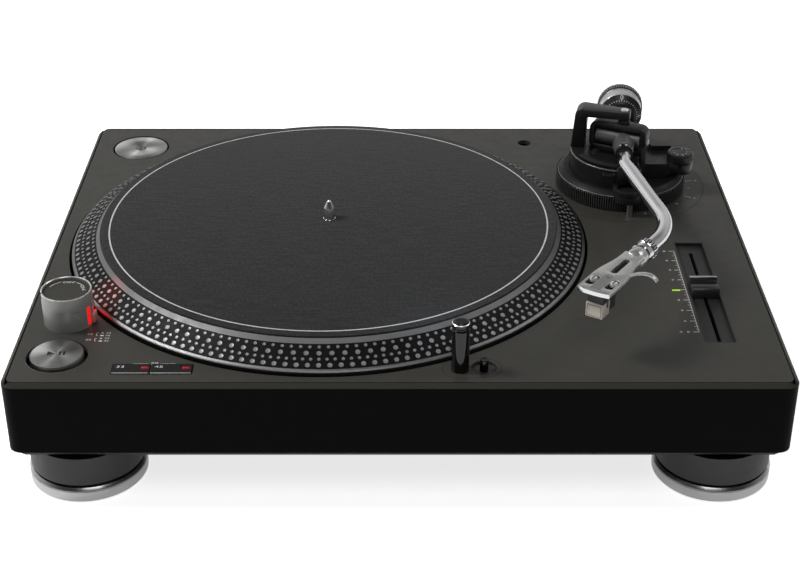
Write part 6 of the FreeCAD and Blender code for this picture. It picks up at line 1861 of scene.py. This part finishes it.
@dataclass
class Rear(Assembly):
    """The connectors in the back of the cabinet."""

    def dress(self) -> None:
        """Dresses the connectors and their plate."""
        dress(SATIN_PLASTIC, "terminal_plate", "ac_inlet")
        dress(SATIN_CHROME, "rca_jacks", "ground_post")


@dataclass(frozen=True)
class Lamp:
    """A soft square lamp that faces the turntable, in metres and watts."""

    name: str
    spot: tuple[float, float, float]
    size: float
    power: float

    def hang(self) -> None:
        """Hangs the lamp."""
        light = bpy.data.lights.new(self.name, "AREA")
        light.energy = self.power
        light.size = self.size
        hung = bpy.data.objects.new(self.name, light)
        hung.location = self.spot
        aim = Vector((0, 0, 0.1)) - Vector(self.spot)
        hung.rotation_euler = aim.to_track_quat("-Z", "Y").to_euler()
        bpy.context.scene.collection.objects.link(hung)


@dataclass
class Studio:
    """The floor, the lamps and the camera of the photograph."""

    lens: float = 71.147
    eye: tuple[float, float, float] = (0.0, -0.914718, 0.570410)
    pitch: float = 59.937
    lamps: tuple[Lamp, ...] = (Lamp("key", (-1.25, 0.05, 1.5), 0.45, 22),
                               Lamp("front", (0.1, -1.1, 1.7), 0.9, 7.5),
                               Lamp("fill", (1.2, 0.3, 1.3), 0.6, 5))
    strobe_power: float = 0.04
    strobe_spot: tuple[float, float, float] = (-179.0, -84.0, 28.0)
    strobe_spread: float = 84.0
    floor_size: float = 4.0
    floor_lift: float = 0.76
    mirrored_lift: float = 0.4
    # How the sky changes along an axis: from and to a heading, and its level at each
    sky_sides: tuple[tuple[str, float, float, float, float], ...] = (
        ("Y", -0.6, 0.8, 0.16, 1.0), ("X", -0.7, 0.7, 1.15, 0.55))
    # The sky's tone at some heights, where the two that the ramp has from the start come first
    sky: tuple[Point, ...] = ((0.0, 0.03), (1.0, 0.12), (0.02, 0.85), (0.36, 0.85), (0.55, 0.25))

    def build(self) -> None:
        """Sets up the studio."""
        self.floor()
        self.world()
        for lamp in self.lamps:
            lamp.hang()
        self.strobe()
        self.camera()
        bpy.context.scene.view_settings.view_transform = "Standard"

    def floor(self) -> None:
        """Lays a plain pale floor."""
        made = bmesh.new()
        bmesh.ops.create_grid(made, x_segments=1, y_segments=1, size=self.floor_size)
        mesh = bpy.data.meshes.new("floor")
        made.to_mesh(mesh)
        made.free()
        mesh.materials.append(self.paper())
        laid = bpy.data.objects.new("floor", mesh)
        bpy.context.scene.collection.objects.link(laid)

    def paper(self) -> bpy.types.Material:
        """Makes the floor's matt paper, lifted so that it is white where nothing shades it.

        Returns:
            The material.
        """
        made = bpy.data.materials.new("studio_paper")
        made.use_nodes = True
        tree = made.node_tree
        tree.nodes.clear()
        place = add(tree, "NodeTexCoord").outputs["Object"]
        grain = add(tree, "NodeTexNoise", {"Scale": per_mm(30), "Detail": 2.0}, {"Vector": place})
        tone = add(tree, "NodeValToRGB", links={"Fac": grain.outputs[0]})
        for element, code in zip(tone.color_ramp.elements, ("#f2f2f2", "#f6f6f6")):
            element.color = linear(code)
        matt = add(tree, "NodeBsdfDiffuse", links={"Color": tone.outputs[0]})
        path = add(tree, "NodeLightPath")
        mirrored = add(tree, "NodeMath", {1: self.mirrored_lift}, {0: path.outputs["Is Glossy Ray"]},
                       operation="MULTIPLY")
        lift = add(tree, "NodeMath", {1: self.floor_lift},
                   {0: path.outputs["Is Camera Ray"], 2: mirrored.outputs[0]}, operation="MULTIPLY_ADD")
        glow = add(tree, "NodeEmission", {"Color": (1, 1, 1, 1)}, {"Strength": lift.outputs[0]})
        both = add(tree, "NodeAddShader", links={0: matt.outputs[0], 1: glow.outputs[0]})
        add(tree, "NodeOutputMaterial", links={"Surface": both.outputs[0]})
        return made

    def world(self) -> None:
        """Surrounds the set with soft white, brightest low down, behind it and on its left."""
        world = bpy.data.worlds.new("studio")
        bpy.context.scene.world = world
        world.use_nodes = True
        tree = world.node_tree
        tree.nodes.clear()
        heading = add(tree, "NodeSeparateXYZ", links={0: add(tree, "NodeTexCoord").outputs["Generated"]})
        behind, side = (
            add(tree, "NodeMapRange", {"From Min": start, "From Max": stop, "To Min": low, "To Max": high},
                {"Value": heading.outputs[axis]})
            for axis, start, stop, low, high in self.sky_sides)
        rising = add(tree, "NodeValToRGB", links={"Fac": heading.outputs["Z"]})
        ends = {stop.position: stop for stop in rising.color_ramp.elements}
        for rise, tone in self.sky:
            stop = ends.get(rise) or rising.color_ramp.elements.new(rise)
            stop.color = (tone, tone, tone, 1)
        around = add(tree, "NodeMath", links={0: behind.outputs[0], 1: side.outputs[0]},
                     operation="MULTIPLY")
        glow = add(tree, "NodeMath", links={0: around.outputs[0], 1: rising.outputs[0]},
                   operation="MULTIPLY")
        path = add(tree, "NodeLightPath")
        # What the camera looks at, even through glass, is plain white
        seen = add(tree, "NodeMath", links={0: path.outputs["Is Camera Ray"],
                                            1: path.outputs["Is Transmission Ray"]}, operation="MAXIMUM")
        level = add(tree, "NodeMix", {3: 1.0}, {0: seen.outputs[0], 2: glow.outputs[0]})
        light = add(tree, "NodeBackground", {"Color": (1, 1, 1, 1)}, {"Strength": level.outputs[0]})
        add(tree, "NodeOutputWorld", links={"Surface": light.outputs[0]})

    def strobe(self) -> None:
        """Lets the strobe lamp's red light fall on the dots beside the tower."""
        light = bpy.data.lights.new("strobe", "SPOT")
        light.energy = self.strobe_power
        light.color = (1.0, 0.08, 0.03)
        light.shadow_soft_size = 0.003
        light.spot_size = math.radians(self.strobe_spread)
        light.spot_blend = 1.0
        hung = bpy.data.objects.new("strobe", light)
        hung.location = at(*self.strobe_spot).translation * MM
        bpy.context.scene.collection.objects.link(hung)

    def camera(self) -> None:
        """Stands the camera where the photograph was taken."""
        eye = bpy.data.cameras.new("camera")
        eye.sensor_width = 36
        eye.lens = self.lens
        eye.clip_start = 0.01
        stand = bpy.data.objects.new("camera", eye)
        stand.location = self.eye
        stand.rotation_euler = (math.radians(self.pitch), 0, 0)
        bpy.context.scene.collection.objects.link(stand)
        bpy.context.scene.camera = stand


def main() -> None:
    """Builds the turntable and its studio in order."""
    for part in (Cabinet(), Feet(), Platter(), StrobeTower(), DeckButtons(), StylusLight(), TempoFader(),
                 Adapter(), ArmBase(), Gimbal(), Arm(), Weights(), Rear()):
        log.info("%s", type(part).__name__)
        part.build()
        part.dress()
    Studio().build()


if __name__ == "__main__":
    main()
